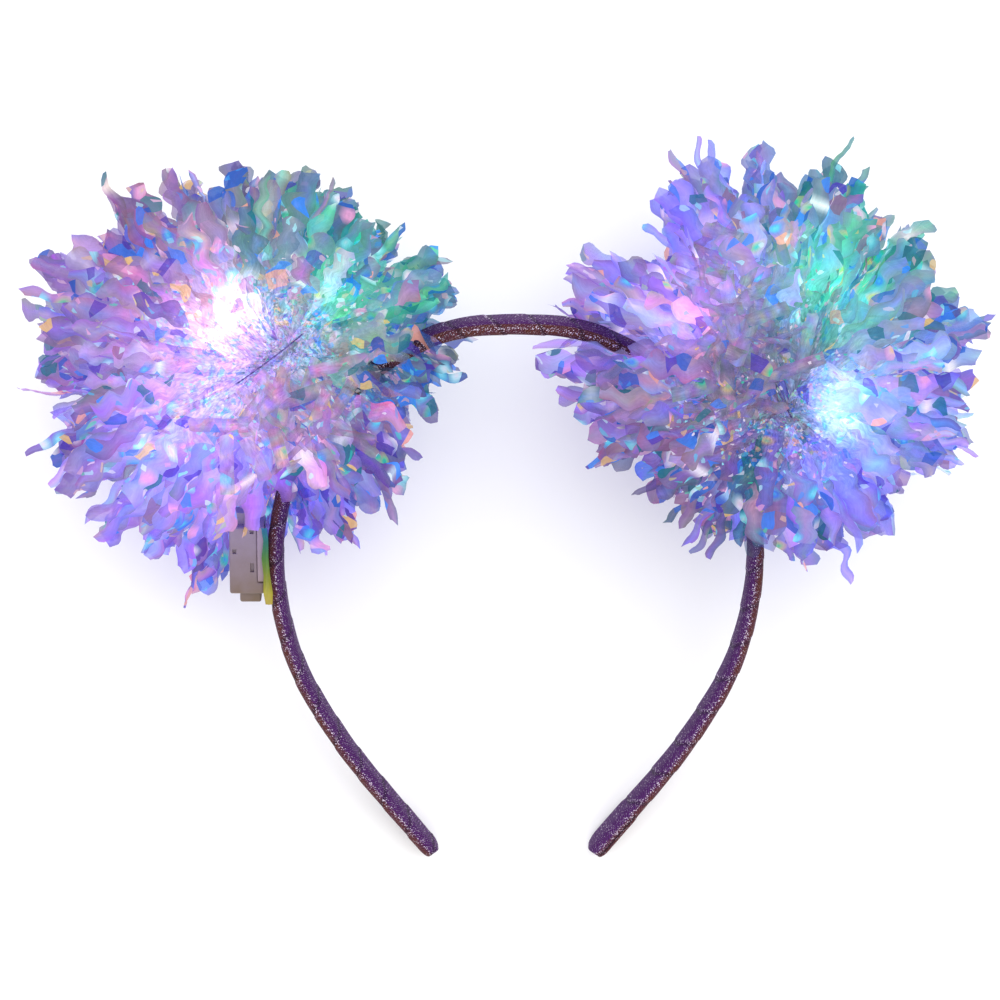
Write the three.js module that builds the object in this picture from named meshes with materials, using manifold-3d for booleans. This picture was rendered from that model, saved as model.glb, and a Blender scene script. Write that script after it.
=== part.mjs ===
// Light-up tinsel headband: a fabric-wrapped hair band that carries two big tinsel pompoms with
// small lamps inside them, and a battery case with a push switch beside one leg of the band.
// Millimetres, +Z up. The headband lies on its back on the plane z = 0 and rests on both pompoms
// and on the two tips of the band, so the band leans up from its tips towards its crown.
// Left and right are as seen from above, with the crown pointing to +Y.

import * as THREE from "three";
import { mergeVertices } from "three/addons/utils/BufferGeometryUtils.js";
import Module from "manifold-3d";

const wasm = await Module();
wasm.setup();

const GAP = 0.3;
const LEAN_DEG = 18;

// Hair band. Half of its middle line, from the crown to a tip: side is the distance from the
// plane of symmetry and rise the height above the tips.
const BAND = { width: 10, thick: 4.4, edge: 1.2, crownSteps: 47, tipSteps: [0, 0.7, 2, 4.2] };
const TIP_FOLD = { length: 17, extra: 0.5 };
const BAND_LINE = [
  { side: 0, rise: 153 },
  { side: 18, rise: 151.3 },
  { side: 33.6, rise: 144.1 },
  { side: 45.8, rise: 134.1 },
  { side: 55.4, rise: 121.4 },
  { side: 62.6, rise: 108 },
  { side: 66, rise: 87 },
  { side: 61.6, rise: 59.3 },
  { side: 48.8, rise: 34.3 },
  { side: 22.5, rise: 0 },
];

// Tinsel pompoms. The locks of film fan out from a head of gathered film. Each reach row is the
// length of the locks, in steps of 15 degrees, counter-clockwise from +X as seen from above.
const HEAD = { radius: 14, detail: 2 };
const LOCK = {
  count: 72,
  steps: 4,
  rootRadius: 10,
  rootWidth: 4,
  endWidth: 11,
  thick: 1.5,
  sway: 2.2,
  waves: 2,
  curl: 9,
  twistDeg: 40,
  spread: 0.12,
};
const POMPOMS = [
  {
    name: "left",
    side: -69,
    rise: 142.4,
    front: 53,
    reach: [
      51, 56, 55, 50, 52, 51, 52, 50, 59, 60, 62, 64,
      61, 63, 63, 61, 60, 64, 49, 53, 52, 53, 49, 50,
    ],
    wire: { from: [-6.2, -6.7], to: [11.6, 7.4] },
    seed: 7,
  },
  {
    name: "right",
    side: 69.3,
    rise: 139.6,
    front: 53,
    reach: [
      54, 56, 54, 54, 55, 60, 59, 61, 60, 54, 61, 60,
      63, 56, 54, 50, 51, 52, 50, 54, 51, 49, 54, 53,
    ],
    wire: { from: [0.3, -6.2], to: [5.2, -13.6] },
    seed: 19,
  },
];
const POST = { radius: 2.2, sides: 10 };
const TIE_WIRE = { radius: 0.5, lift: 1.5, steps: 8, sides: 6 };

// Lamps, as offsets from the middle of their pompom.
const LAMP = { radius: 2, length: 6, stemRadius: 0.6 };
const LAMPS = [
  { name: "lamp_left_1", pompom: "left", x: -9, y: 10, z: 19 },
  { name: "lamp_left_2", pompom: "left", x: 19, y: 17, z: 14 },
  { name: "lamp_left_3", pompom: "left", x: -18, y: -21, z: 13 },
  { name: "lamp_right_1", pompom: "right", x: 16, y: -10, z: 19 },
  { name: "lamp_right_2", pompom: "right", x: -20, y: 19, z: 13 },
  { name: "lamp_right_3", pompom: "right", x: 10, y: 25, z: 13 },
];

// Battery case, on the outer face of the left leg. side and rise are the middle of the shell. The
// sill is the low end of the shell, which reaches under the lid.
const CASE = { side: -74.6, rise: 88, width: 7.6, length: 19, depth: 12, corner: 0.6, bevel: 0.5 };
const LID = { thick: 1.6 };
const SILL = { length: 3.2 };
const OUTLET = { width: 4.8, length: 3.2, depth: 6 };
const LATCHES = [
  { across: 2.4, along: 8.2, width: 1.1, length: 1.1 },
  { across: 2.4, along: -2, width: 1.1, length: 2.6 },
  { across: -2.4, along: 2.6, width: 1.1, length: 1.3 },
];
const LATCH_DEPTH = 0.8;
const BUTTON = { across: 1.7, width: 5.8, depth: 7, out: 3.2, inside: 1, travel: 1 };

const LEAN = THREE.MathUtils.degToRad(LEAN_DEG);
const leanMatrix = new THREE.Matrix4().makeRotationX(LEAN);

const film = new THREE.MeshStandardMaterial({ color: 0x9a8fd0, roughness: 0.25 });
const wrap = new THREE.MeshStandardMaterial({ color: 0x5c3f92, roughness: 0.7 });
const shellPlastic = new THREE.MeshStandardMaterial({ color: 0xa8968e, roughness: 0.45 });
const darkWire = new THREE.MeshStandardMaterial({ color: 0x3d3a42, roughness: 0.5 });
const lampPlastic = new THREE.MeshStandardMaterial({
  color: 0xfff2ec,
  roughness: 0.3,
  emissive: 0xfff2ec,
});

const headband = new THREE.Group();
headband.name = "light_up_tinsel_headband";

function addPiece(name, geometry, material) {
  const mesh = new THREE.Mesh(geometry, material.clone());
  mesh.name = name;
  headband.add(mesh);
}

function leaning(side, rise, depth) {
  return new THREE.Vector3(side, rise, depth).applyMatrix4(leanMatrix);
}

function solidOf(geometry) {
  const bare = new THREE.BufferGeometry();
  bare.setAttribute("position", geometry.getAttribute("position").clone());
  if (geometry.index) bare.setIndex(geometry.index.clone());
  const welded = mergeVertices(bare, 1e-4);
  return new wasm.Manifold(
    new wasm.Mesh({
      numProp: 3,
      vertProperties: new Float32Array(welded.getAttribute("position").array),
      triVerts: new Uint32Array(welded.index.array),
    }),
  );
}

function geometryOf(solid) {
  const mesh = solid.getMesh();
  const geometry = new THREE.BufferGeometry();
  geometry.setAttribute("position", new THREE.BufferAttribute(mesh.vertProperties, 3));
  geometry.setIndex(new THREE.BufferAttribute(mesh.triVerts, 1));
  return geometry;
}

function largestBody(solid) {
  const bodies = solid.decompose();
  return bodies.reduce((best, body) => (body.volume() > best.volume() ? body : best));
}

function moveVertices(geometry, place) {
  const position = geometry.getAttribute("position");
  const point = new THREE.Vector3();
  for (let i = 0; i < position.count; i += 1) {
    point.fromBufferAttribute(position, i);
    const moved = place(point.clone());
    position.setXYZ(i, moved.x, moved.y, moved.z);
  }
  return geometry;
}

function randomFrom(seed) {
  let state = seed;
  return () => {
    state = (state * 48271) % 2147483647;
    return state / 2147483647;
  };
}

// The band is a tube swept along its middle line: its section has two broad faces with bevelled
// edges, its ends are rounded, and the wrap is folded thicker over the right tip.

function bandLine() {
  const rightHalf = BAND_LINE.map((row) => new THREE.Vector3(row.side, row.rise, 0));
  const leftHalf = BAND_LINE.slice(1).map((row) => new THREE.Vector3(-row.side, row.rise, 0));
  return new THREE.CatmullRomCurve3([...leftHalf.reverse(), ...rightHalf], false, "centripetal");
}

const line = bandLine();
line.arcLengthDivisions = 2000;
const lineLength = line.getLength();

function bandStations() {
  const ends = BAND.tipSteps;
  const last = ends[ends.length - 1];
  const stations = ends.slice(0, -1);
  for (let i = 0; i <= BAND.crownSteps; i += 1) {
    stations.push(last + ((lineLength - 2 * last) * i) / BAND.crownSteps);
  }
  for (const end of ends.slice(0, -1).reverse()) stations.push(lineLength - end);
  return stations;
}

function sectionCorner(angle, width, thick) {
  const corner = Math.round(angle / (Math.PI / 4));
  const onBroadFace = corner % 4 === 0 || corner % 4 === 3;
  const deep = Math.sign(Math.cos(angle + Math.PI / 8)) || 1;
  const out = Math.sign(Math.sin(angle + Math.PI / 8)) || 1;
  return onBroadFace
    ? { deep: deep * (width / 2), out: out * (thick / 2 - BAND.edge) }
    : { deep: deep * (width / 2 - BAND.edge), out: out * (thick / 2) };
}

function bandTube(grow) {
  const stations = bandStations();
  const rings = stations.length - 1;
  const tube = new THREE.CylinderGeometry(1, 1, 1, 8, rings);
  return moveVertices(tube, (point) => {
    const along = stations[Math.round((0.5 - point.y) * rings)];
    const nearEnd = Math.min(along, lineLength - along);
    const roundness = BAND.tipSteps[BAND.tipSteps.length - 1];
    const lack = Math.max(0, 1 - nearEnd / roundness);
    const ending = 0.25 + 0.75 * Math.sqrt(1 - lack * lack);
    const folded = lineLength - along < TIP_FOLD.length ? TIP_FOLD.extra : 0;
    const at = along / lineLength;
    const centre = line.getPointAt(at);
    const tangent = line.getTangentAt(at);
    const outward = new THREE.Vector3(-tangent.y, tangent.x, 0);
    const atCentre = Math.hypot(point.x, point.z) < 0.5;
    const angle = (Math.atan2(point.x, point.z) + 2 * Math.PI) % (2 * Math.PI);
    const corner = sectionCorner(
      angle,
      BAND.width * ending + 2 * grow,
      (BAND.thick + folded) * (0.6 + 0.4 * ending) + 2 * grow,
    );
    const deep = atCentre ? 0 : corner.deep;
    const out = atCentre ? 0 : corner.out;
    return centre.addScaledVector(outward, out).setZ(deep).applyMatrix4(leanMatrix);
  });
}

function bandLift() {
  const tube = bandTube(0);
  tube.computeBoundingBox();
  return -tube.boundingBox.min.z;
}

leanMatrix.setPosition(0, 0, bandLift());

// The battery case stands along the leg: a shell and a thin lid towards the band, with latch
// windows beside the seam, a wire outlet on top and a push switch below. The sill closes the shell
// under the lid and holds the switch.

function caseBlock(width, length, depth, corner, bevel) {
  const x = width / 2 - bevel;
  const y = depth / 2 - bevel;
  const r = Math.min(corner, x, y);
  const outline = new THREE.Shape();
  outline.moveTo(-x + r, -y);
  outline.lineTo(x - r, -y);
  outline.absarc(x - r, -y + r, r, -Math.PI / 2, 0);
  outline.absarc(x - r, y - r, r, 0, Math.PI / 2);
  outline.absarc(-x + r, y - r, r, Math.PI / 2, Math.PI);
  outline.absarc(-x + r, -y + r, r, Math.PI, 1.5 * Math.PI);
  const block = new THREE.ExtrudeGeometry(outline, {
    depth: length - 2 * bevel,
    bevelEnabled: bevel > 0,
    bevelThickness: bevel,
    bevelSize: bevel,
    bevelSegments: 1,
    curveSegments: 2,
  });
  block.translate(0, 0, -length / 2 + bevel);
  return block.rotateX(-Math.PI / 2);
}

function batteryCase() {
  let shell = solidOf(caseBlock(CASE.width, CASE.length, CASE.depth, CASE.corner, CASE.bevel));
  const outlet = caseBlock(OUTLET.width, OUTLET.length + 2, OUTLET.depth, 0.8, 0);
  outlet.translate(0, CASE.length / 2 + OUTLET.length / 2 - 1, 0);
  shell = shell.add(solidOf(outlet));
  const sill = caseBlock(CASE.width + GAP + LID.thick, SILL.length, CASE.depth, CASE.corner, CASE.bevel);
  sill.translate((GAP + LID.thick) / 2, -CASE.length / 2 + SILL.length / 2, 0);
  shell = shell.add(solidOf(sill));
  for (const latch of LATCHES) {
    const window = new THREE.BoxGeometry(latch.width, latch.length, 2 * LATCH_DEPTH);
    window.translate(latch.across, latch.along, CASE.depth / 2);
    shell = shell.subtract(solidOf(window));
  }
  const pocketDepth = BUTTON.inside + BUTTON.travel + GAP;
  const pocket = new THREE.BoxGeometry(
    BUTTON.width + 2 * GAP,
    2 * pocketDepth,
    BUTTON.depth + 2 * GAP,
  );
  pocket.translate(BUTTON.across, -CASE.length / 2, 0);
  shell = shell.subtract(solidOf(pocket));
  return placedOnLeg(geometryOf(shell), 0, 0);
}

function placedOnLeg(geometry, across, along) {
  return geometry
    .translate(CASE.side + across, CASE.rise + along, 0)
    .applyMatrix4(leanMatrix);
}

// Each pompom is a head of gathered film with wavy locks fused to it. Locks that would run into
// the band pass in front of it or behind it, and those below end on the surface.

const bandSamples = line.getSpacedPoints(240);

function pompomCentre(pompom) {
  return leaning(pompom.side, pompom.rise, 0);
}

function nearestOnBand(pompom) {
  const middle = new THREE.Vector3(pompom.side, pompom.rise, 0);
  return bandSamples.reduce((best, p) =>
    p.distanceTo(middle) < best.distanceTo(middle) ? p : best,
  );
}

function towardBand(pompom) {
  const middle = new THREE.Vector3(pompom.side, pompom.rise, 0);
  const inPlane = nearestOnBand(pompom).clone().sub(middle);
  return inPlane.transformDirection(leanMatrix);
}

function reachOf(pompom, direction) {
  const rows = pompom.reach;
  const turn = (Math.atan2(direction.y, direction.x) / (2 * Math.PI) + 1) % 1;
  const row = Math.floor(turn * rows.length) % rows.length;
  const share = turn * rows.length - Math.floor(turn * rows.length);
  const level = THREE.MathUtils.lerp(rows[row], rows[(row + 1) % rows.length], share);
  return THREE.MathUtils.lerp(level, pompom.front, direction.z * direction.z);
}

function pushedAway(direction, from, leastAngle) {
  const angle = direction.angleTo(from);
  if (angle >= leastAngle) return direction;
  const turnAxis = from.clone().cross(direction).normalize();
  return direction.applyAxisAngle(turnAxis, leastAngle - angle);
}

function pastTheBand(direction, pompom, reach) {
  const inverse = new THREE.Matrix4().extractRotation(leanMatrix).transpose();
  const local = direction.clone().applyMatrix4(inverse);
  const heading = Math.atan2(local.y, local.x);
  let nearest = Infinity;
  for (const p of bandSamples) {
    const dx = p.x - pompom.side;
    const dy = p.y - pompom.rise;
    const off = Math.abs(Math.atan2(dy, dx) - heading);
    if (Math.min(off, 2 * Math.PI - off) < 0.12) nearest = Math.min(nearest, Math.hypot(dx, dy));
  }
  if (nearest > reach + 4) return direction;
  const least = Math.min(0.85, (BAND.width / 2 + 4.5) / nearest);
  if (Math.abs(local.z) >= least) return direction;
  const flat = Math.sqrt(1 - least * least) / Math.hypot(local.x, local.y);
  const across = local.z < 0 ? -least : least;
  local.set(local.x * flat, local.y * flat, across);
  return direction.copy(local).transformDirection(leanMatrix);
}

function besideTheWire(direction, wireNormal) {
  if (direction.z < 0.3) return direction;
  const off = direction.dot(wireNormal);
  const least = 0.3;
  if (Math.abs(off) >= least) return direction;
  const pushed = (off < 0 ? -least : least) - off;
  return direction.addScaledVector(wireNormal, pushed).normalize();
}

function lockDirections(pompom, random) {
  const wireRun = wireEnd(pompom.wire.to).sub(wireEnd(pompom.wire.from));
  const wireNormal = new THREE.Vector3(-wireRun.y, wireRun.x, 0).normalize();
  const post = towardBand(pompom);
  const lamps = LAMPS.filter((lamp) => lamp.pompom === pompom.name);
  const golden = Math.PI * (3 - Math.sqrt(5));
  const directions = [];
  for (let i = 0; i < LOCK.count; i += 1) {
    const height = 1 - (2 * (i + 0.5)) / LOCK.count;
    const ring = Math.sqrt(1 - height * height);
    const direction = new THREE.Vector3(
      ring * Math.cos(i * golden) + LOCK.spread * (random() - 0.5),
      ring * Math.sin(i * golden) + LOCK.spread * (random() - 0.5),
      height + LOCK.spread * (random() - 0.5),
    ).normalize();
    besideTheWire(direction, wireNormal);
    pushedAway(direction, post, 0.4);
    for (const lamp of lamps) {
      pushedAway(direction, new THREE.Vector3(lamp.x, lamp.y, lamp.z).normalize(), 0.3);
    }
    directions.push(pastTheBand(direction, pompom, reachOf(pompom, direction)));
  }
  return directions;
}

function tinselLock(pompom, direction, random) {
  const floor = -pompomCentre(pompom).z;
  const free = reachOf(pompom, direction) * (0.93 + 0.12 * random());
  const reach = direction.z < 0 ? Math.min(free, floor / direction.z) : free;
  const side = new THREE.Vector3(random() - 0.5, random() - 0.5, random() - 0.5);
  const across = side.cross(direction).normalize();
  const upright = direction.clone().cross(across);
  const phase = 2 * Math.PI * random();
  const curl = LOCK.curl * (random() - 0.5);
  const twist = THREE.MathUtils.degToRad(LOCK.twistDeg) * (2 * random() - 1);
  const strip = new THREE.BoxGeometry(1, 1, 1, 1, 1, LOCK.steps);
  return moveVertices(strip, (point) => {
    const along = point.z + 0.5;
    const width = THREE.MathUtils.lerp(LOCK.rootWidth, LOCK.endWidth, Math.pow(along, 0.7));
    const sway = LOCK.sway * along * Math.sin(2 * Math.PI * LOCK.waves * along + phase);
    const turn = twist * along;
    const wide = across.clone().applyAxisAngle(direction, turn);
    const thin = upright.clone().applyAxisAngle(direction, turn);
    const placed = direction
      .clone()
      .multiplyScalar(THREE.MathUtils.lerp(LOCK.rootRadius, reach, along))
      .addScaledVector(wide, point.x * width + sway)
      .addScaledVector(thin, point.y * LOCK.thick + curl * along * along);
    placed.z = Math.max(placed.z, floor);
    return placed;
  });
}

function tinselPompom(pompom, clearances) {
  const random = randomFrom(pompom.seed);
  const centre = pompomCentre(pompom);
  const pieces = [solidOf(new THREE.IcosahedronGeometry(HEAD.radius, HEAD.detail))];
  for (const direction of lockDirections(pompom, random)) {
    pieces.push(solidOf(tinselLock(pompom, direction, random)));
  }
  let tinsel = wasm.Manifold.union(pieces).translate(centre.toArray());
  for (const clearance of clearances) tinsel = tinsel.subtract(clearance);
  return geometryOf(largestBody(tinsel));
}

// A thin tie wire lies across the front of each head, and each lamp stands on a short stem.

function wireEnd(offset) {
  const radius = HEAD.radius + TIE_WIRE.lift;
  const depth = Math.sqrt(radius * radius - offset[0] * offset[0] - offset[1] * offset[1]);
  return new THREE.Vector3(offset[0], offset[1], depth);
}

class TieWirePath extends THREE.Curve {
  constructor(from, to) {
    super();
    this.from = from;
    this.to = to;
  }

  getPoint(t) {
    const point = this.from.clone().lerp(this.to, t);
    return point.setLength(this.from.length());
  }
}

function roundOutline(radius, sides) {
  const points = [];
  for (let i = 0; i < sides; i += 1) {
    const angle = (2 * Math.PI * i) / sides;
    points.push(new THREE.Vector2(radius * Math.cos(angle), radius * Math.sin(angle)));
  }
  return new THREE.Shape(points);
}

function tieWire(pompom, grow) {
  const path = new TieWirePath(wireEnd(pompom.wire.from), wireEnd(pompom.wire.to));
  const wire = new THREE.ExtrudeGeometry(roundOutline(TIE_WIRE.radius + grow, TIE_WIRE.sides), {
    steps: TIE_WIRE.steps,
    bevelEnabled: false,
    extrudePath: path,
  });
  const centre = pompomCentre(pompom);
  return wire.translate(centre.x, centre.y, centre.z);
}

function rodBetween(start, end, radius, sides) {
  const run = end.clone().sub(start);
  const rod = new THREE.CylinderGeometry(radius, radius, run.length(), sides);
  const upright = new THREE.Vector3(0, 1, 0);
  rod.applyQuaternion(
    new THREE.Quaternion().setFromUnitVectors(upright, run.clone().normalize()),
  );
  const middle = start.clone().lerp(end, 0.5);
  return rod.translate(middle.x, middle.y, middle.z);
}

function pompomPost(pompom, grow) {
  const middle = new THREE.Vector3(pompom.side, pompom.rise, 0);
  const centre = pompomCentre(pompom);
  const direction = towardBand(pompom);
  const bandFace = middle.distanceTo(nearestOnBand(pompom)) - BAND.thick / 2;
  const start = centre.clone().addScaledVector(direction, HEAD.radius + GAP - grow);
  const end = centre.clone().addScaledVector(direction, bandFace - GAP + grow);
  return rodBetween(start, end, POST.radius + grow, POST.sides);
}

function lamp(spec, pompom, grow) {
  const centre = pompomCentre(pompom);
  const offset = new THREE.Vector3(spec.x, spec.y, spec.z);
  const direction = offset.clone().normalize();
  const bulb = new THREE.SphereGeometry(1, 8, 5);
  bulb.scale(LAMP.radius + grow, LAMP.length / 2 + grow, LAMP.radius + grow);
  bulb.applyQuaternion(
    new THREE.Quaternion().setFromUnitVectors(new THREE.Vector3(0, 1, 0), direction),
  );
  const at = centre.clone().add(offset);
  bulb.translate(at.x, at.y, at.z);
  const root = centre.clone().addScaledVector(direction, HEAD.radius + GAP - grow);
  const stem = rodBetween(root, at, LAMP.stemRadius + grow, 6);
  return solidOf(bulb).add(solidOf(stem));
}

addPiece("band", bandTube(0), wrap);

addPiece("battery_case", batteryCase(), shellPlastic);
const lidAcross = CASE.width / 2 + GAP + LID.thick / 2;
const lidLength = CASE.length - SILL.length - GAP;
const lidBlock = caseBlock(LID.thick, lidLength, CASE.depth, 0.5, 0.3);
addPiece(
  "battery_lid",
  placedOnLeg(lidBlock, lidAcross, (CASE.length - lidLength) / 2),
  shellPlastic,
);
const buttonLength = BUTTON.out + BUTTON.inside;
const buttonBlock = caseBlock(BUTTON.width, buttonLength, BUTTON.depth, 0.6, 0.3);
const buttonAlong = -CASE.length / 2 - BUTTON.out + buttonLength / 2;
addPiece("switch_button", placedOnLeg(buttonBlock, BUTTON.across, buttonAlong), shellPlastic);

const bandClearance = solidOf(bandTube(GAP + 0.2));
const caseRoom = caseBlock(CASE.width + LID.thick + 4, CASE.length + 14, CASE.depth + 2, 1, 0);
const caseClearance = solidOf(placedOnLeg(caseRoom, LID.thick / 2, 0));

for (const pompom of POMPOMS) {
  const ownLamps = LAMPS.filter((spec) => spec.pompom === pompom.name);
  const clearances = [
    bandClearance,
    caseClearance,
    solidOf(tieWire(pompom, GAP)),
    solidOf(pompomPost(pompom, GAP)),
    ...ownLamps.map((spec) => lamp(spec, pompom, GAP)),
  ];
  addPiece(`pompom_${pompom.name}`, tinselPompom(pompom, clearances), film);
  addPiece(`tie_wire_${pompom.name}`, tieWire(pompom, 0), darkWire);
  addPiece(`pompom_post_${pompom.name}`, pompomPost(pompom, 0), shellPlastic);
  for (const spec of ownLamps) addPiece(spec.name, geometryOf(lamp(spec, pompom, 0)), lampPlastic);
}

const extent = new THREE.Box3().setFromObject(headband);
const middle = extent.getCenter(new THREE.Vector3());
headband.position.set(-middle.x, -middle.y, -extent.min.z);

export default headband;
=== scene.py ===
"""Looks of the light-up tinsel headband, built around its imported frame."""

import math

import bmesh
import bpy
import numpy as np
from mathutils import Matrix, Vector


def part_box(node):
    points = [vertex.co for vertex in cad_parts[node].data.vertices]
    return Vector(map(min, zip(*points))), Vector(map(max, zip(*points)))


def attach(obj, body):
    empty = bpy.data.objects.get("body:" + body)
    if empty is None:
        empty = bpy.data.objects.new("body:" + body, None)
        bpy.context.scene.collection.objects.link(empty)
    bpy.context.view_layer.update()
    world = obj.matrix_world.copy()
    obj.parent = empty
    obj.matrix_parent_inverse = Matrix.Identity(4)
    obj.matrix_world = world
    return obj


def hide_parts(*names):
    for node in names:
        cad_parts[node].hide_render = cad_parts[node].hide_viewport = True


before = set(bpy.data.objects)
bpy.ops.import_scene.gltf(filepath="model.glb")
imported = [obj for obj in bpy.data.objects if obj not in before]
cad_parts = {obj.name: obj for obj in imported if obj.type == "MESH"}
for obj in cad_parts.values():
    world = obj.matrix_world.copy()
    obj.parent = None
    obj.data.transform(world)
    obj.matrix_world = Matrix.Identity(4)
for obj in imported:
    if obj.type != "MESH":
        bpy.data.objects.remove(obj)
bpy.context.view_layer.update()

MM = 0.001
LEAN = math.radians(18)
SHARP_FROM = math.radians(38)

# Hair band, in millimetres: the line is side and rise of half its middle line, from crown to tip.
BAND_WIDTH = 10.0
BAND_THICK = 4.4
BAND_EDGE = 1.2
BAND_LINE = [
    (0, 153),
    (18, 151.3),
    (33.6, 144.1),
    (45.8, 134.1),
    (55.4, 121.4),
    (62.6, 108),
    (66, 87),
    (61.6, 59.3),
    (48.8, 34.3),
    (22.5, 0),
]
CURVE_STEPS = 60
BAND_SAMPLES = 160
BAND_STEPS = 700
BAND_SIDES = 36
TIP_ROUND = 4.2
CROWN_ABOVE = 120

# Fabric wound round the band: millimetres, radians and linear colours. Corners is what the rounded edges
# take off the girth. The side lighting sets the inner side off from the outer one with painted light and
# painted shade, seams are given in parts of a turn with painted shade in their steps and painted glints
# along the edges, and the fold is at the right tip.
WRAP = {
    "pitch": 11.0,
    "step": 0.2,
    "corners": 3.0,
    # The two side colours: painted shade, browner, and painted light on the same fabric.
    "shaded_side_colour": (0.096, 0.027, 0.022),
    "lit_side_colour": (0.066, 0.015, 0.104),
    # Near-black painted shade for the steps of the wrap and the tip fold.
    "crease_shade": (0.015, 0.006, 0.018),
    "fleck": (0.8, 0.68, 0.86),
}
RIB_SLANT = math.radians(38)
# Painted light and shade on the band: where the lit colour gives way to the shaded one, on the legs and
# the crown.
SIDE_LIGHTING = {"crown_from": 125, "crown_fade": 18, "leg": 0.04, "crown": 0.4, "contrast": 10}
# Ridge and edge set where painted glints gather; the step after each seam gets painted shade.
SEAM = {"ridge": 0.02, "edge": 0.06, "crease_shade": 0.8, "crease_shade_at": 0.06, "crease_shade_breadth": 0.05}
TIP_FOLD = {"length": 17, "extra": 0.5, "crease": 0.45, "angle": 0.35, "breadth": 0.18, "ease": 1.5}
FOLD_SHADE = 0.15

# Battery case, in millimetres: side and rise are the middle of its shell. The sill is the low end of
# the shell, which reaches under the lid.
GAP = 0.3
CASE = {"side": -74.6, "rise": 88, "width": 7.6, "length": 19, "depth": 12, "corner": 0.6}
LID = {"thick": 1.85, "gap": 0.03, "corner": 0.2}
SILL = {"length": 3.2, "width": 9.5}
OUTLET = {"width": 4.8, "length": 3.2, "depth": 6}
LATCHES = [
    {"across": 2.4, "along": 8.2, "width": 1.1, "length": 1.1},
    {"across": 2.4, "along": -2, "width": 1.1, "length": 2.6},
    {"across": -2.4, "along": 2.6, "width": 1.1, "length": 1.3},
]
LATCH_DEPTH = 0.8
WINDOW_RIM = 0.1
BUTTON = {
    "across": 1.7,
    "width": 5.8,
    "depth": 7,
    "out": 3.2,
    "inside": 1,
    "travel": 1,
    "corner": 0.6,
    "dish": 0.25,
    "rim": 1.1,
}

# Plastic colours in sRGB, at the switch and at the far end: painted shade, browner and darker, at the
# switch end, and painted lilac light at the far end.
CASE_SHADE_TO_LIGHT = ((0.4, 0.32, 0.23), (0.58, 0.52, 0.6))
LID_SHADE_TO_LIGHT = ((0.5, 0.41, 0.36), (0.65, 0.58, 0.67))

# Film strip that hangs in front of the gap between case and band: side, rise, depth and width of its
# middle line in millimetres, and red, green and blue of its colour in sRGB.
HANGING_STRIP = [
    (-68.7, 98, 8.0, 1.6, 0.18, 0.44, 0.62),
    (-68.3, 94, 7.2, 1.4, 0.2, 0.47, 0.44),
    (-68.6, 89, 6.9, 1.9, 0.32, 0.5, 0.26),
    (-68.2, 84, 6.6, 1.8, 0.5, 0.54, 0.22),
    (-67.9, 79, 6.7, 2.6, 0.66, 0.62, 0.24),
    (-67.7, 75.6, 6.4, 1.9, 0.68, 0.6, 0.26),
]
HANGING_ROWS = 40
HANGING_BOW = 0.4

# Tie wires and lamps, in millimetres. The lamp's profile runs from its nose to its foot.
WIRE = {
    "radius": 0.13,
    "from_centre": 15.5,
    "turns": 7,
    "steps": 70,
    "open_aside": 2.2,
    "open_behind": 3,
}
STRAND_SIDES = 6
LAMP_PROFILE = [(0, 3), (0.9, 2.8), (1.5, 2.3), (1.8, 1.6), (1.8, -2.1), (2, -2.1), (2, -2.8), (0, -2.8)]
LAMP_SIDES = 16
LAMP_STEM_FROM = 14.3
LAMP_LEAD = {"radius": 0.22, "aside": 0.5, "steps": 6}
LAMP_SHINE = 0.55

# Pompoms, in millimetres. The two reach rows are the length of the strips, in steps of 15 degrees,
# counter-clockwise from +X as seen from above.
POMPOMS = {
    "left": {
        "side": -69,
        "rise": 142.4,
        "front": 53,
        "reach": [
            (53, 55, 54, 47, 53, 52, 55, 46, 64, 60, 60, 65),
            (64, 63, 62, 61, 63, 67, 50, 54, 50, 51, 48, 52),
        ],
        "wire": ((-6.2, -6.7), (11.6, 7.4)),
        "band_shows": {"within": 44, "below": 118},
        "tangle": {"at": (7, -15, 31), "spread": (11, 8, 4), "share": 0.05, "film": (0.66, 0.55, 0.66)},
        # Painted light: how much more, or less, the film glows towards the pompom's middle.
        "inner_light": 0.05,
        "root_film": (0.76, 0.66, 0.9),
        "seed": 11,
    },
    "right": {
        "side": 69.3,
        "rise": 139.6,
        "front": 53,
        "reach": [
            (56, 58, 60, 57, 53, 65, 56, 60, 59, 43, 62, 60),
            (63, 53, 51, 45, 46, 52, 50, 56, 52, 52, 54, 52),
        ],
        "wire": ((0.3, -6.2), (5.2, -13.6)),
        "band_shows": {"within": 27, "below": 103},
        "tangle": {"at": (-11, 10, 31), "spread": (8, 12, 4), "share": 0.11, "film": (0.54, 0.5, 0.62)},
        # Painted light: how much more, or less, the film glows towards the pompom's middle.
        "inner_light": -0.2,
        "root_film": (0.55, 0.5, 0.58),
        "seed": 23,
    },
}

# How the strips spread: lengths are shares of the reach, heights and spreads are on a unit sphere.
TUFTS = {"before_thinning": 268, "uneven": 0.05, "strips": 6, "spread": 0.1}
THINNED = {"front": (0.5, 0.9), "front_share": 0.9, "back": -0.35, "back_share": 0.45}
FINGERS = {"count": 58, "length": (0.88, 1.06), "height": (0.7, 0.45), "pull": 0.07, "hold": (0.4, 0.95)}
INNER_STRIPS = {"share": 0.22, "length": (0.55, 0.9)}
STRAYS = {"share": 0.06, "length": (1.03, 1.13), "width": 0.45, "wave": 0.3}

# Where the strips leave the tie wire, in millimetres; forward is added to the height of their direction.
ROOTS = {"uneven": 1.5, "aside": 6, "most_aside": 2.5, "forward": 0.35, "depth": 9}

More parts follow.
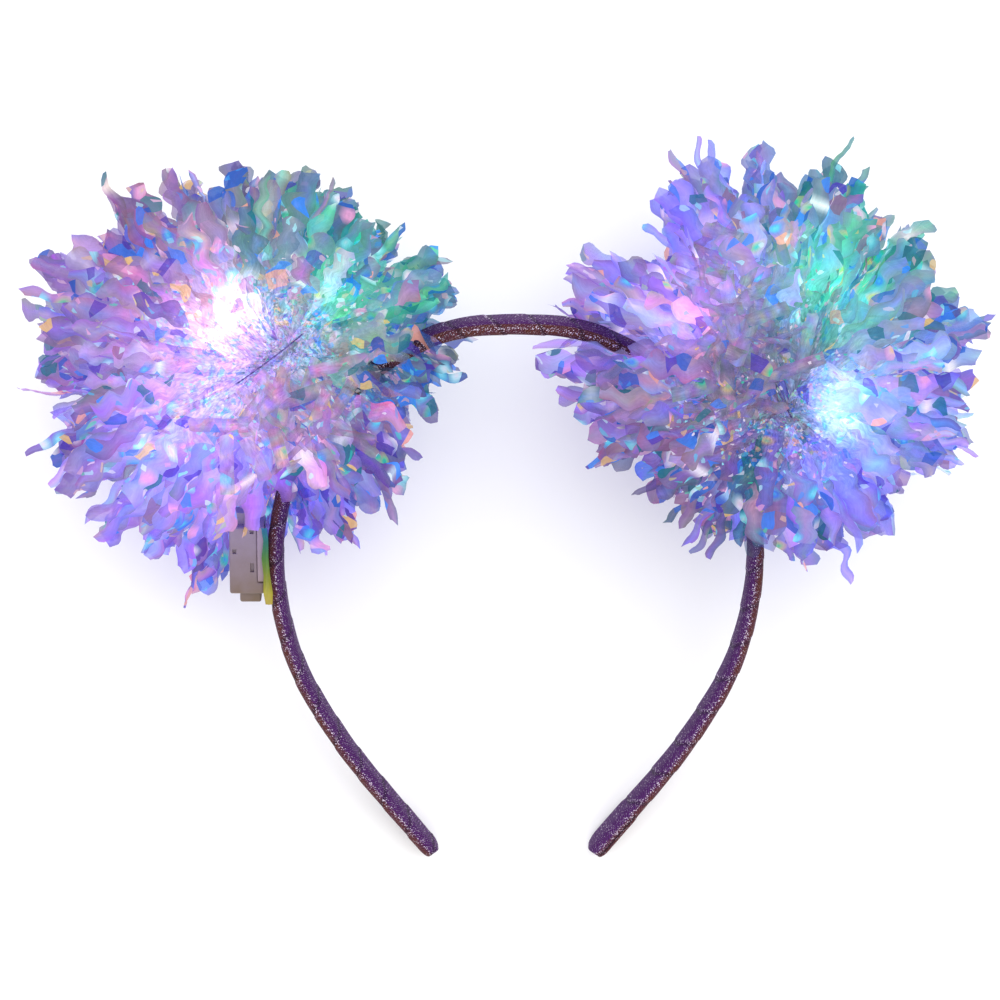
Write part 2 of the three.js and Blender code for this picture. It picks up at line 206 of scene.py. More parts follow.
# Shape of a strip. Rows are its cross lines from root to tip. Crumple, crinkle, sway, crease, slant and
# wave are in millimetres, and so are its width and its height over the floor.
STRIP_ROWS = 42
ROW_PARTS = np.linspace(0, 1, STRIP_ROWS) ** 0.75
KINKS = 9
STRIP = {
    "length": (0.88, 1.06),
    "facing_from": -0.3,
    "lift": 0.5,
    "spread": 0.14,
    "bend": 0.55,
    "face_spread": 0.45,
    "twist": 0.4,
    "twist_kinks": 0.2,
    "crumple": 0.7,
    "crinkle": 0.12,
    "sway": 0.9,
    "crease": 0.35,
    "width": (4.6, 6.2),
    "root_width": 0.2,
    "tip_width": (0.97, 0.86, 0.5),
    "tip_slant": 0.6,
    "over_floor": 0.8,
    "lowest": 0.4,
}
WAVE = {"length": 9.0, "uneven": (0.75, 1.3), "depth": (0.5, 1.3)}
UV_APART = 40

# Strips that lie crosswise over the front of a pompom.
TANGLED = {
    "length": (9, 18),
    "steepness": 0.3,
    "run_from": 32,
    "width": 0.7,
    "crumple": 0.4,
    "film": 0.6,
}

# How the strips bend past the band and the battery case, in millimetres.
BEND_SLOPE = 0.9
PAST_BAND = {"near": 2.2, "far": 8.2, "clear": 1.0, "front_from": 2, "uneven": 4}
PAST_CASE = {"far": 7.0, "clear": 1.2, "above_from": -2, "tip_below_top": 11}

# Film as painted, with painted reflections, shade and glints: cells to a millimetre across and along a
# strip, and shares and strengths.
PATCH_CELLS = (0.19, 0.22)
CREASE_CELLS = (1.8, 0.4)
CRINKLE_CELLS = (0.8, 0.62)
SPARK_CELLS = (1.7, 0.9)
GATHERED_BETWEEN = (12.0, 44.0)
LEAST_GATHERED = 0.15
PATCH_STRENGTH = 0.85
CRINKLE_FLASH = 0.75
CRINKLE_STRENGTH = 0.6
SPARK_FLASH = 0.34
CLEAR_TINT = 0.6
# Painted light: the film shows mostly its own emission, an even glow and the lamps' glow, and its base
# colour is dimmed so that real light shades it little.
FILM_DIM = (0.3, 0.3, 0.3, 1)
FILM_LIGHT = 0.71
FILM_SHADES = (0.74, 1.18)
FILM_TINT = 0.24
FILM_COVER = (0.4, 0.7)
EDGE_SHADE = (0.82, 1.08, 0.82)
OWN_FILM = 0.25
DEEP_PARTS = {"from": (0.35, 0.8), "fade": 0.08, "share": 0.34, "strength": (0.5, 1.0)}
# Painted glints: pale bands along some strips, lighter in colour and glow.
GLINTS = {"at": (0.25, 0.95), "breadth": (0.02, 0.06), "share": 0.35, "strength": (0.2, 0.75)}
# Painted light: a ring of extra glow round each pompom's middle.
RING = {"radius": 30, "breadth": 13, "light": 0.12}
# Painted light of the lamps: how unevenly it falls, and how far it tints the film's own colour.
LAMP_UNEVEN = (0.3, 1.55)
LAMP_TINT = 0.16

# Lamps: offset from the middle of their pompom, strength, spread and colour of their light, which is
# painted into the film as glow and tint.
LAMPS = [
    {"node": "lamp_left_1", "at": (-9, 10, 19), "power": 4.8, "spread": 8.8, "light": (1, 0.9, 0.97)},
    {"node": "lamp_left_2", "at": (19, 17, 14), "power": 0.9, "spread": 12, "light": (0.3, 0.98, 0.8)},
    {"node": "lamp_left_3", "at": (-18, -21, 13), "power": 1.2, "spread": 16, "light": (0.92, 0.88, 1)},
    {"node": "lamp_right_1", "at": (16, -10, 19), "power": 3.6, "spread": 7, "light": (0.76, 0.91, 1)},
    {"node": "lamp_right_2", "at": (-20, 19, 13), "power": 2.0, "spread": 10, "light": (0.97, 0.82, 1)},
    {"node": "lamp_right_3", "at": (10, 25, 13), "power": 2.1, "spread": 12, "light": (0.16, 0.98, 0.7)},
]

# Film colours as seen, in sRGB.
FILM = {
    "lilac": (0.78, 0.7, 1.05),
    "periwinkle": (0.6, 0.58, 1.07),
    "sky": (0.71, 0.8, 1.1),
    "heather": (0.72, 0.6, 0.83),
    "violet": (0.55, 0.46, 0.9),
    "mauve": (0.61, 0.5, 0.7),
    "plum": (0.55, 0.41, 0.54),
    "umber": (0.47, 0.33, 0.4),
    "slate": (0.4, 0.55, 0.7),
    "rose": (0.86, 0.68, 0.82),
    "pink": (0.98, 0.66, 0.86),
    "coral": (0.96, 0.66, 0.58),
    "seafoam": (0.17, 0.82, 0.64),
    "teal": (0.0, 0.44, 0.5),
    "cyan": (0.3, 0.82, 0.96),
    "azure": (0.2, 0.52, 0.96),
    "blue": (0.05, 0.36, 0.76),
    "amber": (0.95, 0.78, 0.46),
    "indigo": (0.3, 0.22, 0.7),
    "pearl": (0.97, 0.94, 1.0),
    "ice": (0.62, 0.95, 1.0),
}
TIP_FILM = (0.5, 0.38, 0.67)
GLINT_FILMS = [(1.0, 0.86, 0.95), (0.82, 0.97, 1.0), (1.0, 0.98, 1.0), (1.0, 0.93, 0.86)]

# Where each film colour gathers, partly the film's own tints and partly the lamps' coloured light
# painted into
# the film: offset from the middle of the pompom and spread, in millimetres, the colour, the share of its
# patches that flash another one as painted reflections, and the deep colour of some of its strips.
ZONES = {
    "left": [
        ((26, 30, 15), 20, "seafoam", 0.3, "teal"),
        ((8, 44, 15), 17, "teal", 0.34, "seafoam"),
        ((20, 2, 28), 9, "seafoam", 0.3, "teal"),
        ((48, 2, 8), 12, "teal", 0.36, "blue"),
        ((-6, 46, 15), 12, "slate", 0.3, "teal"),
        ((-38, 20, 15), 24, "heather", 0.28, "indigo"),
        ((-24, 42, 10), 17, "plum", 0.3, "blue"),
        ((-46, -10, 10), 20, "violet", 0.27, "mauve"),
        ((-28, -32, 15), 20, "lilac", 0.26, "azure"),
        ((-8, -44, 15), 18, "periwinkle", 0.22, "violet"),
        ((12, -38, 15), 20, "periwinkle", 0.18, "indigo"),
        ((36, -6, 10), 20, "slate", 0.45, "blue"),
        ((30, -26, 20), 18, "plum", 0.42, "blue"),
        ((24, -8, 26), 11, "umber", 0.42, "teal"),
        ((40, -12, 12), 9, "blue", 0.4, "teal"),
        ((0, 0, 45), 26, "rose", 0.2, "pink"),
    ],
    "right": [
        ((-40, 18, 15), 26, "lilac", 0.14, "violet"),
        ((-22, 36, 15), 20, "periwinkle", 0.14, "violet"),
        ((4, 46, 15), 16, "slate", 0.28, "mauve"),
        ((24, 32, 15), 20, "seafoam", 0.4, "teal"),
        ((28, 42, 10), 14, "teal", 0.3, "seafoam"),
        ((46, 20, 10), 11, "teal", 0.3, "azure"),
        ((48, 6, 10), 9, "periwinkle", 0.34, "indigo"),
        ((38, -12, 15), 24, "sky", 0.14, "lilac"),
        ((20, -38, 15), 20, "periwinkle", 0.14, "azure"),
        ((-8, -44, 15), 11, "azure", 0.4, "teal"),
        ((-34, -26, 15), 24, "plum", 0.3, "teal"),
        ((-24, -34, 18), 15, "umber", 0.38, "teal"),
        ((0, 0, 45), 26, "mauve", 0.24, "rose"),
    ],
}

# Colours of the deep and bright patches, which are painted iridescent reflections, and of the fine
# sparks, which are painted glints, by their place on a scale of 0 to 1.
DEEP_PATCHES = [
    (0.0, "teal"),
    (0.2, "blue"),
    (0.42, "indigo"),
    (0.56, "azure"),
    (0.74, "plum"),
    (0.86, "coral"),
    (0.93, "amber"),
]
BRIGHT_PATCHES = [
    (0.0, "pink"),
    (0.16, "pearl"),
    (0.3, "ice"),
    (0.44, "cyan"),
    (0.56, "azure"),
    (0.7, "seafoam"),
    (0.84, "amber"),
    (0.93, "rose"),
    (1.0, "pink"),
]
SPARKS = [
    (0.0, "pearl"),
    (0.35, "rose"),
    (0.55, "ice"),
    (0.75, "seafoam"),
    (0.87, "coral"),
    (0.94, "amber"),
]


# The curve of the band and the places that follow from it.


def band_points(steps):
    """The band's middle line, side and rise in millimetres, evenly spaced from tip to tip."""
    half = np.array(BAND_LINE, float)
    knots = np.vstack([half[:0:-1] * (-1, 1), half])
    ends = np.vstack([2 * knots[:1] - knots[1:2], knots, 2 * knots[-1:] - knots[-2:-1]])
    t = np.linspace(0, 1, CURVE_STEPS, endpoint=False)[:, None]
    pieces = []
    for a, b, c, d in zip(ends, ends[1:], ends[2:], ends[3:]):
        ab, bc, cd = (math.sqrt(math.dist(p, q)) for p, q in ((a, b), (b, c), (c, d)))
        leave = ((b - a) / ab - (c - a) / (ab + bc) + (c - b) / bc) * bc
        reach = ((c - b) / bc - (d - b) / (bc + cd) + (d - c) / cd) * bc
        pieces.append(
            b * (2 * t**3 - 3 * t**2 + 1)
            + leave * (t**3 - 2 * t**2 + t)
            + c * (3 * t**2 - 2 * t**3)
            + reach * (t**3 - t**2)
        )
    line = np.vstack(pieces + [knots[-1:]])
    run = np.concatenate([[0], np.cumsum(np.linalg.norm(np.diff(line, axis=0), axis=1))])
    even = np.linspace(0, run[-1], steps)
    return np.column_stack([np.interp(even, run, line[:, k]) for k in (0, 1)]), run[-1]


def band_foot():
    """Where the point midway between the band's tips is in the frame, in millimetres."""
    low, high = (np.array(corner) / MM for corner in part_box("band"))
    crown = BAND_LINE[0][1]
    out, deep = BAND_THICK / 2, BAND_WIDTH / 2
    y = high[1] - (crown + out) * math.cos(LEAN) - (deep - BAND_EDGE) * math.sin(LEAN)
    z = high[2] - (crown + out - BAND_EDGE) * math.sin(LEAN) - deep * math.cos(LEAN)
    return np.array([(low[0] + high[0]) / 2, y, z])


FOOT = band_foot()


def leaning(side, rise, depth):
    """Frame millimetres of a point given by its place on the leaning band."""
    c, s = math.cos(LEAN), math.sin(LEAN)
    side, rise, depth = np.broadcast_arrays(side, rise, depth)
    return FOOT + np.stack([side, rise * c - depth * s, rise * s + depth * c], -1)


def on_band(points):
    """Side, rise and depth on the leaning band of points in frame millimetres."""
    c, s = math.cos(LEAN), math.sin(LEAN)
    x, y, z = np.moveaxis(points - FOOT, -1, 0)
    return np.stack([x, y * c + z * s, z * c - y * s], -1)


def pompom_centre(name):
    spec = POMPOMS[name]
    return leaning(spec["side"], spec["rise"], 0.0)


# Finishes.


def linear(colour):
    """Linear values of an sRGB colour."""
    colour = np.asarray(colour, float)
    return np.where(colour <= 0.04045, colour / 12.92, ((colour + 0.055) / 1.055) ** 2.4)


def new_finish(name):
    finish = bpy.data.materials.new(name)
    finish.use_nodes = True
    return finish, finish.node_tree, finish.node_tree.nodes["Principled BSDF"]


def plug(tree, value, socket):
    """Links an output to an input socket, or sets a constant on it."""
    if isinstance(value, bpy.types.NodeSocket):
        tree.links.new(value, socket)
    else:
        socket.default_value = value


def dress(tree, surface, values):
    """Plugs values into a shader's inputs by their names."""
    for name, value in values.items():
        plug(tree, value, surface.inputs[name])


def node(tree, kind, **values):
    """A new node, with each value on the input of that name or else as a setting."""
    made = tree.nodes.new(kind)
    for key, value in values.items():
        if key in made.inputs:
            plug(tree, value, made.inputs[key])
        else:
            setattr(made, key, value)
    return made


def attribute(tree, name, output="Fac"):
    return node(tree, "ShaderNodeAttribute", attribute_name=name).outputs[output]


def combined(tree, operation, *values):
    """Values put together by a mathematical operation."""
    made = node(tree, "ShaderNodeMath", operation=operation)
    for value, socket in zip(values, made.inputs):
        plug(tree, value, socket)
    return made.outputs["Value"]


def blended(tree, factor, first, second, blend_type="MIX"):
    """Two colours mixed by a factor."""
    mix = node(tree, "ShaderNodeMix", data_type="RGBA", blend_type=blend_type, Factor=factor)
    plug(tree, first, mix.inputs[6])
    plug(tree, second, mix.inputs[7])
    return mix.outputs[2]


def times(tree, colour, factor):
    """A colour multiplied by another colour or by a number."""
    return blended(tree, 1.0, colour, factor, "MULTIPLY")


def ranged(tree, value, low, high, to_low, to_high):
    """A value mapped from one range to another."""
    scale = node(tree, "ShaderNodeMapRange", Value=value)
    for name, limit in zip(("From Min", "From Max", "To Min", "To Max"), (low, high, to_low, to_high)):
        scale.inputs[name].default_value = limit
    return scale.outputs["Result"]


def colour_scale(tree, value, stops, interpolation="LINEAR"):
    """Picks a colour by a value from 0 to 1; each stop is a place on that scale and a linear colour."""
    ramp = node(tree, "ShaderNodeValToRGB", Fac=value)
    ramp.color_ramp.interpolation = interpolation
    while len(ramp.color_ramp.elements) < len(stops):
        ramp.color_ramp.elements.new(1.0)
    for stop, (start, colour) in zip(ramp.color_ramp.elements, stops):
        stop.position = start
        stop.color = (*colour, 1)
    return ramp.outputs["Color"]


def film_colours(tree, value, steps, interpolation):
    """Picks a film colour by a value from 0 to 1; each step is a place on that scale and a colour."""
    stops = [(start, linear(FILM[name])) for start, name in steps]
    return colour_scale(tree, value, stops, interpolation)


def noise(tree, place, scale, detail):
    return node(tree, "ShaderNodeTexNoise", Vector=place, Scale=scale, Detail=detail).outputs["Fac"]


def mottled(tree, scale, detail, stops):
    """A colour that changes with noise on the piece's own coordinates."""
    place = node(tree, "ShaderNodeTexCoord").outputs["Object"]
    return colour_scale(tree, noise(tree, place, scale, detail), stops)


def bumped(tree, height, strength, distance):
    bump = node(tree, "ShaderNodeBump", Height=height, Strength=strength, Distance=distance)
    return bump.outputs["Normal"]


def stretched(tree, place, cells):
    """Places on the film, with so many units to a millimetre across and along it."""
    return node(tree, "ShaderNodeMapping", Vector=place, Scale=(*cells, 1.0)).outputs["Vector"]


def film_cells(tree, place, cells):
    """Random cells on the film, so many to a millimetre across and along it."""
    laid = stretched(tree, place, cells)
    return node(tree, "ShaderNodeTexVoronoi", voronoi_dimensions="2D", Vector=laid, Scale=1.0)


def cell_values(tree, cells):
    """Three random values of each cell: red, green and blue."""
    return node(tree, "ShaderNodeSeparateColor", Color=cells.outputs["Color"]).outputs


def chosen_cells(tree, value, share):
    """1 in that share of the cells, by a random value of each, and 0 in the others."""
    return combined(tree, "GREATER_THAN", combined(tree, "ADD", value, share), 1.0)


def film_finish():
    """Clear iridescent film: flashing patches as painted reflections, fine creases as painted shade, and
    sparks as painted glints, lit by the lamps' light painted into its emission.
    """
    finish, tree, surface = new_finish("tinsel_film")
    film, glow = (attribute(tree, name, "Color") for name in ("film", "glow"))
    flash, cover = (attribute(tree, name) for name in ("flash", "cover"))
    place = node(tree, "ShaderNodeUVMap", uv_map="strip").outputs["UV"]
    run = node(tree, "ShaderNodeSeparateXYZ", Vector=place).outputs["Y"]
    gathered = ranged(tree, run, *GATHERED_BETWEEN, 1.0, LEAST_GATHERED)

    # Painted reflections: patches of the film take the bright or deep colours that iridescent film shows
    # where it catches the light.
    folds = film_cells(tree, place, PATCH_CELLS)
    facet = cell_values(tree, folds)
    middle = folds.outputs["Distance"]
    is_deep = combined(tree, "GREATER_THAN", facet["Red"], 0.5)
    hue = combined(tree, "ADD", facet["Blue"], combined(tree, "MULTIPLY", middle, 0.35))
    bright = film_colours(tree, hue, BRIGHT_PATCHES, "LINEAR")
    deep = film_colours(tree, facet["Blue"], DEEP_PATCHES, "CONSTANT")
    strength = combined(tree, "MAXIMUM", is_deep, ranged(tree, middle, 0.2, 0.62, 1, 0))
    strength = combined(tree, "MULTIPLY", strength, PATCH_STRENGTH)
    flashing = combined(tree, "MULTIPLY", chosen_cells(tree, facet["Green"], flash), strength)
    patched = blended(tree, flashing, film, blended(tree, is_deep, bright, deep))

    # Painted shade and highlights: fine creases and crinkle cells darken and lighten the film, and some
    # crinkle cells take bright reflection colours.
    laid = stretched(tree, place, CREASE_CELLS)
    creases = node(tree, "ShaderNodeTexNoise", noise_dimensions="2D", Vector=laid, Scale=1.0)
    dress(tree, creases, {"Detail": 1.0, "Roughness": 0.6})
    shade = ranged(tree, creases.outputs["Fac"], 0.3, 0.7, -0.34, 0.44)
    crinkle = cell_values(tree, film_cells(tree, place, CRINKLE_CELLS))
    shade = combined(tree, "ADD", shade, ranged(tree, crinkle["Red"], 0, 1, -0.3, 0.34))
    shade = combined(tree, "ADD", combined(tree, "MULTIPLY", shade, gathered), 1.0)
    chance = combined(tree, "MULTIPLY", combined(tree, "MULTIPLY", flash, gathered), CRINKLE_FLASH)
    crinkled = chosen_cells(tree, crinkle["Green"], chance)
    crinkled = combined(tree, "MULTIPLY", crinkled, CRINKLE_STRENGTH)
    hues = film_colours(tree, crinkle["Blue"], BRIGHT_PATCHES, "LINEAR")
    crease_shaded_film = times(tree, blended(tree, crinkled, patched, hues), shade)

    # Painted glints: sparks of pale colour in the film's emission, more of them towards the roots.
    speck = cell_values(tree, film_cells(tree, place, SPARK_CELLS))
    near_root = ranged(tree, gathered, LEAST_GATHERED, 1, 0.0, SPARK_FLASH)
    sparkling = chosen_cells(tree, speck["Red"], combined(tree, "MULTIPLY", flash, near_root))
    sparks = film_colours(tree, speck["Blue"], SPARKS, "CONSTANT")
    # Painted light: the film's emission is its colour times the glow attribute, and its base colour is
    # dimmed.
    looks = {
        "Base Color": times(tree, crease_shaded_film, FILM_DIM),
        "Emission Color": blended(tree, sparkling, times(tree, crease_shaded_film, glow), sparks),
        "Emission Strength": 1.0,
        "Roughness": 0.2,
        "Specular IOR Level": 0.08,
    }
    dress(tree, surface, looks)
    pale = blended(tree, CLEAR_TINT, (1, 1, 1, 1), film)
    clear = node(tree, "ShaderNodeBsdfTransparent", Color=pale)
    mix = node(tree, "ShaderNodeMixShader", Fac=cover)
    plug(tree, clear.outputs["BSDF"], mix.inputs[1])
    plug(tree, surface.outputs["BSDF"], mix.inputs[2])
    plug(tree, mix.outputs["Shader"], tree.nodes["Material Output"].inputs["Surface"])
    finish.cycles.emission_sampling = "NONE"
    finish.use_transparent_shadow = False
    return finish


def wrap_finish():
    """Glitter fabric wound round the band: slanting ribs, seams and metallic flecks, with painted light
    and shade on its two sides, painted shade in the seam steps and the tip fold, and painted glints
    along the edges.
    """
    finish, tree, surface = new_finish("glitter_wrap")
    place = node(tree, "ShaderNodeUVMap", uv_map="wrap").outputs["UV"]
    slant = node(tree, "ShaderNodeMapping", Vector=place, Rotation=(0, 0, RIB_SLANT)).outputs["Vector"]
    ribs = node(tree, "ShaderNodeTexWave", Vector=slant, Scale=0.42, Distortion=0.6, Detail=1.0)
    ribs = ribs.outputs["Fac"]
    clouds = noise(tree, place, 0.3, 3.0)
    # Painted light and shade: mottled noise plus the side lighting turns the fabric from its shaded
    # colour to its lit one.
    mottle_and_painted_light = combined(tree, "MULTIPLY_ADD", clouds, 0.7, attribute(tree, "lit_side"))
    fabric = colour_scale(tree, mottle_and_painted_light, [(0.25, WRAP["shaded_side_colour"]), (1.0, WRAP["lit_side_colour"])])
    ribbed = times(tree, fabric, ranged(tree, ribs, 0, 1, 0.6, 1.25))
    # Painted shade: the crease attribute darkens the fabric in the wrap's steps and the tip fold.
    crease_shaded_wrap = blended(tree, attribute(tree, "crease"), ribbed, (*WRAP["crease_shade"], 1))
    pick = cell_values(tree, node(tree, "ShaderNodeTexVoronoi", Vector=place, Scale=5.0))
    # Painted glints: the flecks gather along the band's ridge and the edges of the wrap turns, where
    # they catch the light.
    edge = combined(tree, "MULTIPLY_ADD", attribute(tree, "edge_glint"), 0.12, pick["Red"])
    flecks = ranged(tree, edge, 0.93, 1.05, 0, 1)
    looks = {
        "Base Color": blended(tree, flecks, crease_shaded_wrap, (*WRAP["fleck"], 1)),
        "Normal": bumped(tree, ribs, 0.5, 0.0003),
        "Roughness": 0.6,
        "Specular IOR Level": 0.12,
    }
    dress(tree, surface, looks)
    return finish


def case_finish(name, shaded_colour, lit_colour):
    """Satin moulded plastic, faintly mottled, browner and darker towards the switch as painted shade and
    lilac at the far end as painted light.
    """
    finish, tree, surface = new_finish(name)
    place = node(tree, "ShaderNodeTexCoord").outputs["Object"]
    rise = node(tree, "ShaderNodeSeparateXYZ", Vector=place).outputs["Y"]
    low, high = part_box("switch_button")[0].y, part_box("battery_case")[1].y
    rise = ranged(tree, rise, low, high, 0, 1)
    # Painted shade and light: the colour runs from the shaded colour at the switch up to the lit colour.
    mottle_and_painted_light = combined(tree, "MULTIPLY_ADD", noise(tree, place, 260.0, 4.0), 0.35, rise)
    looks = {
        "Base Color": colour_scale(tree, mottle_and_painted_light, [(0.1, linear(shaded_colour)), (1.0, linear(lit_colour))]),
        "Normal": bumped(tree, noise(tree, place, 2500.0, 2.0), 0.25, 0.0001),
        "Roughness": 0.42,
    }
    dress(tree, surface, looks)
    return finish


def wire_finish():
    """Dark lacquered wire with worn, lighter spots."""
    finish, tree, surface = new_finish("dark_wire")
    worn = mottled(tree, 900.0, 2.0, [(0.45, (0.1, 0.07, 0.24)), (0.75, (0.26, 0.2, 0.5))])
    dress(tree, surface, {"Base Color": worn, "Roughness": 0.4})
    return finish


def lamp_finish(name, light, power):
    """Lit lamp drop: its light is whiter in the denser parts of its clear resin."""
    finish, tree, surface = new_finish(name)
    resin = mottled(tree, 600.0, 2.0, [(0.35, linear(light)), (0.6, (1, 1, 1))])
    looks = {
        "Base Color": resin,
        "Emission Color": resin,
        "Emission Strength": LAMP_SHINE * power,
        "Roughness": 0.2,
    }
    dress(tree, surface, looks)
    return finish


def floor_finish():
    """Matt pale paper with a faint fibre mottle."""
    finish, tree, surface = new_finish("pale_floor")
    paper = mottled(tree, 40.0, 4.0, [(0.0, (0.93, 0.93, 0.93)), (1.0, (0.96, 0.96, 0.96))])
    dress(tree, surface, {"Base Color": paper, "Roughness": 0.9})
    return finish


# Pieces.


def in_scene(name, data):
    """An object of that name in the scene, at the origin."""
    made = bpy.data.objects.new(name, data)
    bpy.context.collection.objects.link(made)
    return made


def riding_piece(data, name, finish, slot, *nodes, body="headband"):
    """Makes a mesh into an object that rides on a body and stands for CAD nodes."""
    data.materials.append(finish)
    piece = in_scene(name, data)
    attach(piece, body)
    if nodes:
        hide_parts(*nodes)


def finished_piece(mesh, name, finish, slot, *nodes, body="headband"):
    """Makes a bmesh into a riding piece, smooth but for its sharp edges."""
    bmesh.ops.recalc_face_normals(mesh, faces=mesh.faces)
    data = bpy.data.meshes.new(name)
    mesh.to_mesh(data)
    mesh.free()
    data.shade_smooth()
    data.set_sharp_from_angle(angle=SHARP_FROM)
    riding_piece(data, name, finish, slot, *nodes, body=body)


def unit(vectors):
    return vectors / np.linalg.norm(vectors, axis=-1, keepdims=True)


def rising(values, low, high):
    """How far values have come from low to high, from 0 to 1."""
    return np.clip((values - low) / (high - low), 0, 1)


def toward(film, other, share):
    """A colour moved towards another by a share."""
    return film + (other - film) * share


# Tinsel pompoms.


def reach_of(spec, directions):
    """Length of strips in those directions, in millimetres."""
    rows = np.array(spec["reach"], float).ravel()
    turn = (np.arctan2(directions[:, 1], directions[:, 0]) / (2 * np.pi)) % 1
    level = np.interp(turn * len(rows), np.arange(len(rows) + 1), np.append(rows, rows[0]))
    front = directions[:, 2] ** 2
    return level * (1 - front) + spec["front"] * front


def gathered_ends(rng, ends):
    """Draws the strips round the rim into fingers; gives their directions and share of the reach."""
    fingers = rng.uniform(0, 2 * np.pi, FINGERS["count"])
    lengths = rng.uniform(*FINGERS["length"], FINGERS["count"])
    turn = np.arctan2(ends[:, 1], ends[:, 0])
    off = (fingers - turn[:, None] + np.pi) % (2 * np.pi) - np.pi
    finger = np.abs(off).argmin(1)
    hold = rising(np.abs(ends[:, 2]), *FINGERS["height"])
    pull = np.clip(off[np.arange(len(ends)), finger], -FINGERS["pull"], FINGERS["pull"])
    turn = turn + pull * hold * rng.uniform(*FINGERS["hold"], len(ends))
    flat = np.hypot(ends[:, 0], ends[:, 1])
    drawn = np.column_stack([flat * np.cos(turn), flat * np.sin(turn), ends[:, 2]])
    return drawn, 1 + (lengths[finger] - 1) * hold


def strip_ends(rng):
    """Directions in which the strips end, in tufts, their share of the reach, and which are strays."""
    height = np.linspace(1, -1, TUFTS["before_thinning"])
    turn = math.pi * (3 - math.sqrt(5)) * np.arange(len(height))
    flat = np.sqrt(1 - height**2)
    tufts = np.column_stack([flat * np.cos(turn), flat * np.sin(turn), height])
    tufts = unit(tufts + rng.normal(0, TUFTS["uneven"], tufts.shape))
    front = np.minimum(rising(height, *THINNED["front"]), THINNED["front_share"])
    back = np.where(height < THINNED["back"], THINNED["back_share"], 0.0)
    kept = rng.random(len(tufts)) > front + back
    tufts = np.repeat(tufts[kept], TUFTS["strips"], axis=0)
    spread = rng.normal(0, TUFTS["spread"], tufts.shape)
    ends, share = gathered_ends(rng, unit(tufts + spread))
    share = share * rng.uniform(*STRIP["length"], len(ends))
    inner = rng.random(len(ends)) < INNER_STRIPS["share"]
    share = np.where(inner, share * rng.uniform(*INNER_STRIPS["length"], len(ends)), share)
    stray = rng.random(len(ends)) < STRAYS["share"]
    return ends, np.where(stray, rng.uniform(*STRAYS["length"], len(ends)), share), stray


def kinks(rng, count, spread):
    """Random values for every row of every strip, straight between a few kinks."""
    knots = np.linspace(0, 1, KINKS)
    return np.stack([np.interp(ROW_PARTS, knots, k) for k in rng.normal(0, spread, (count, KINKS))])


def strip_roots(spec, ends, rng):
    """Where the strips leave the tie wire: gathered along its length, to either side of it."""
    first, last = np.array(spec["wire"], float)
    half = (last - first) / 2
    reach = np.linalg.norm(half)
    along = half / reach
    aside = np.array([-along[1], along[0]])
    uneven = rng.normal(0, ROOTS["uneven"], len(ends))
    run = np.clip(ends[:, :2] @ along * reach + uneven, -reach, reach)
    off = np.clip(ends[:, :2] @ aside * ROOTS["aside"], -ROOTS["most_aside"], ROOTS["most_aside"])
    flat = (first + last) / 2 + run[:, None] * along + off[:, None] * aside
    return np.column_stack([flat, np.clip(ends[:, 2] + ROOTS["forward"], -1, 1) * ROOTS["depth"]])


def near_band(points):
    """Points by their place on the leaning band, and how far they lie beside its middle line."""
    samples, _ = band_points(BAND_SAMPLES)
    local = on_band(points)
    return local, np.linalg.norm(local[:, :, None, :2] - samples, axis=-1).min(-1)


def band_shows(name, local):
    """How far the band shows through the film at points on the leaning band, from 0 to 1."""
    within, below = POMPOMS[name]["band_shows"]["within"], POMPOMS[name]["band_shows"]["below"]
    crown = rising(np.abs(local[..., 0]), within + 6, within - 6) * (local[..., 1] > CROWN_ABOVE)
    leg = rising(local[..., 1], below + 4, below - 4)
    return np.maximum(0.85 * crown, 0.95 * leg)


def eased(move, along):
    """Spreads a move of the strips over their length, so that they bend aside and none jumps."""
    size = np.abs(move)[:, None] - BEND_SLOPE * np.abs(along[:, :, None] - along[:, None])
    hold = rising(ROW_PARTS, 0, 0.15)
    return np.sign(move.sum(1))[:, None] * np.maximum(size.max(-1), 0) * hold


def past_the_band(name, points, along, rng):
    """Bends strips that would run through the band to its front, or behind it where the band shows."""
    local, gap = near_band(points)
    crossing = local[np.arange(len(local)), gap.argmin(1)]
    front = crossing[:, 2] + rng.normal(0, PAST_BAND["uneven"], len(local)) > PAST_BAND["front_from"]
    front &= rng.random(len(local)) > band_shows(name, crossing)
    reach = rising(gap, PAST_BAND["far"], PAST_BAND["near"])
    need = (BAND_WIDTH / 2 + PAST_BAND["clear"]) * reach**0.5
    depth = local[..., 2]
    clear = np.where(front[:, None], np.maximum(depth, need), np.minimum(depth, -need))
    local[..., 2] += eased(np.where(reach > 0, clear - depth, 0.0), along)
    return leaning(local[..., 0], local[..., 1], local[..., 2])


def past_the_case(points, along):
    """Bends strips that would run through the battery case above it or below it."""
    boxes = np.array([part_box("battery_case"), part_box("battery_lid")]) / MM
    low, high = boxes[:, 0].min(0), boxes[:, 1].max(0)
    outside = np.maximum(np.maximum(low - points, points - high)[..., :2], 0)
    reach = rising(np.linalg.norm(outside, axis=-1), PAST_CASE["far"], 0)
    need = ((high[2] - low[2]) / 2 + PAST_CASE["clear"]) * reach**0.5
    height = points[..., 2] - (low[2] + high[2]) / 2
    above = np.where(reach > 0, height, 0).sum(1) > PAST_CASE["above_from"]
    above &= points[:, -1, 1] > high[1] - PAST_CASE["tip_below_top"]
    clear = np.where(above[:, None], np.maximum(height, need), np.minimum(height, -need))
    points[..., 2] += eased(np.where(reach > 0, clear - height, 0.0), along)
    return points


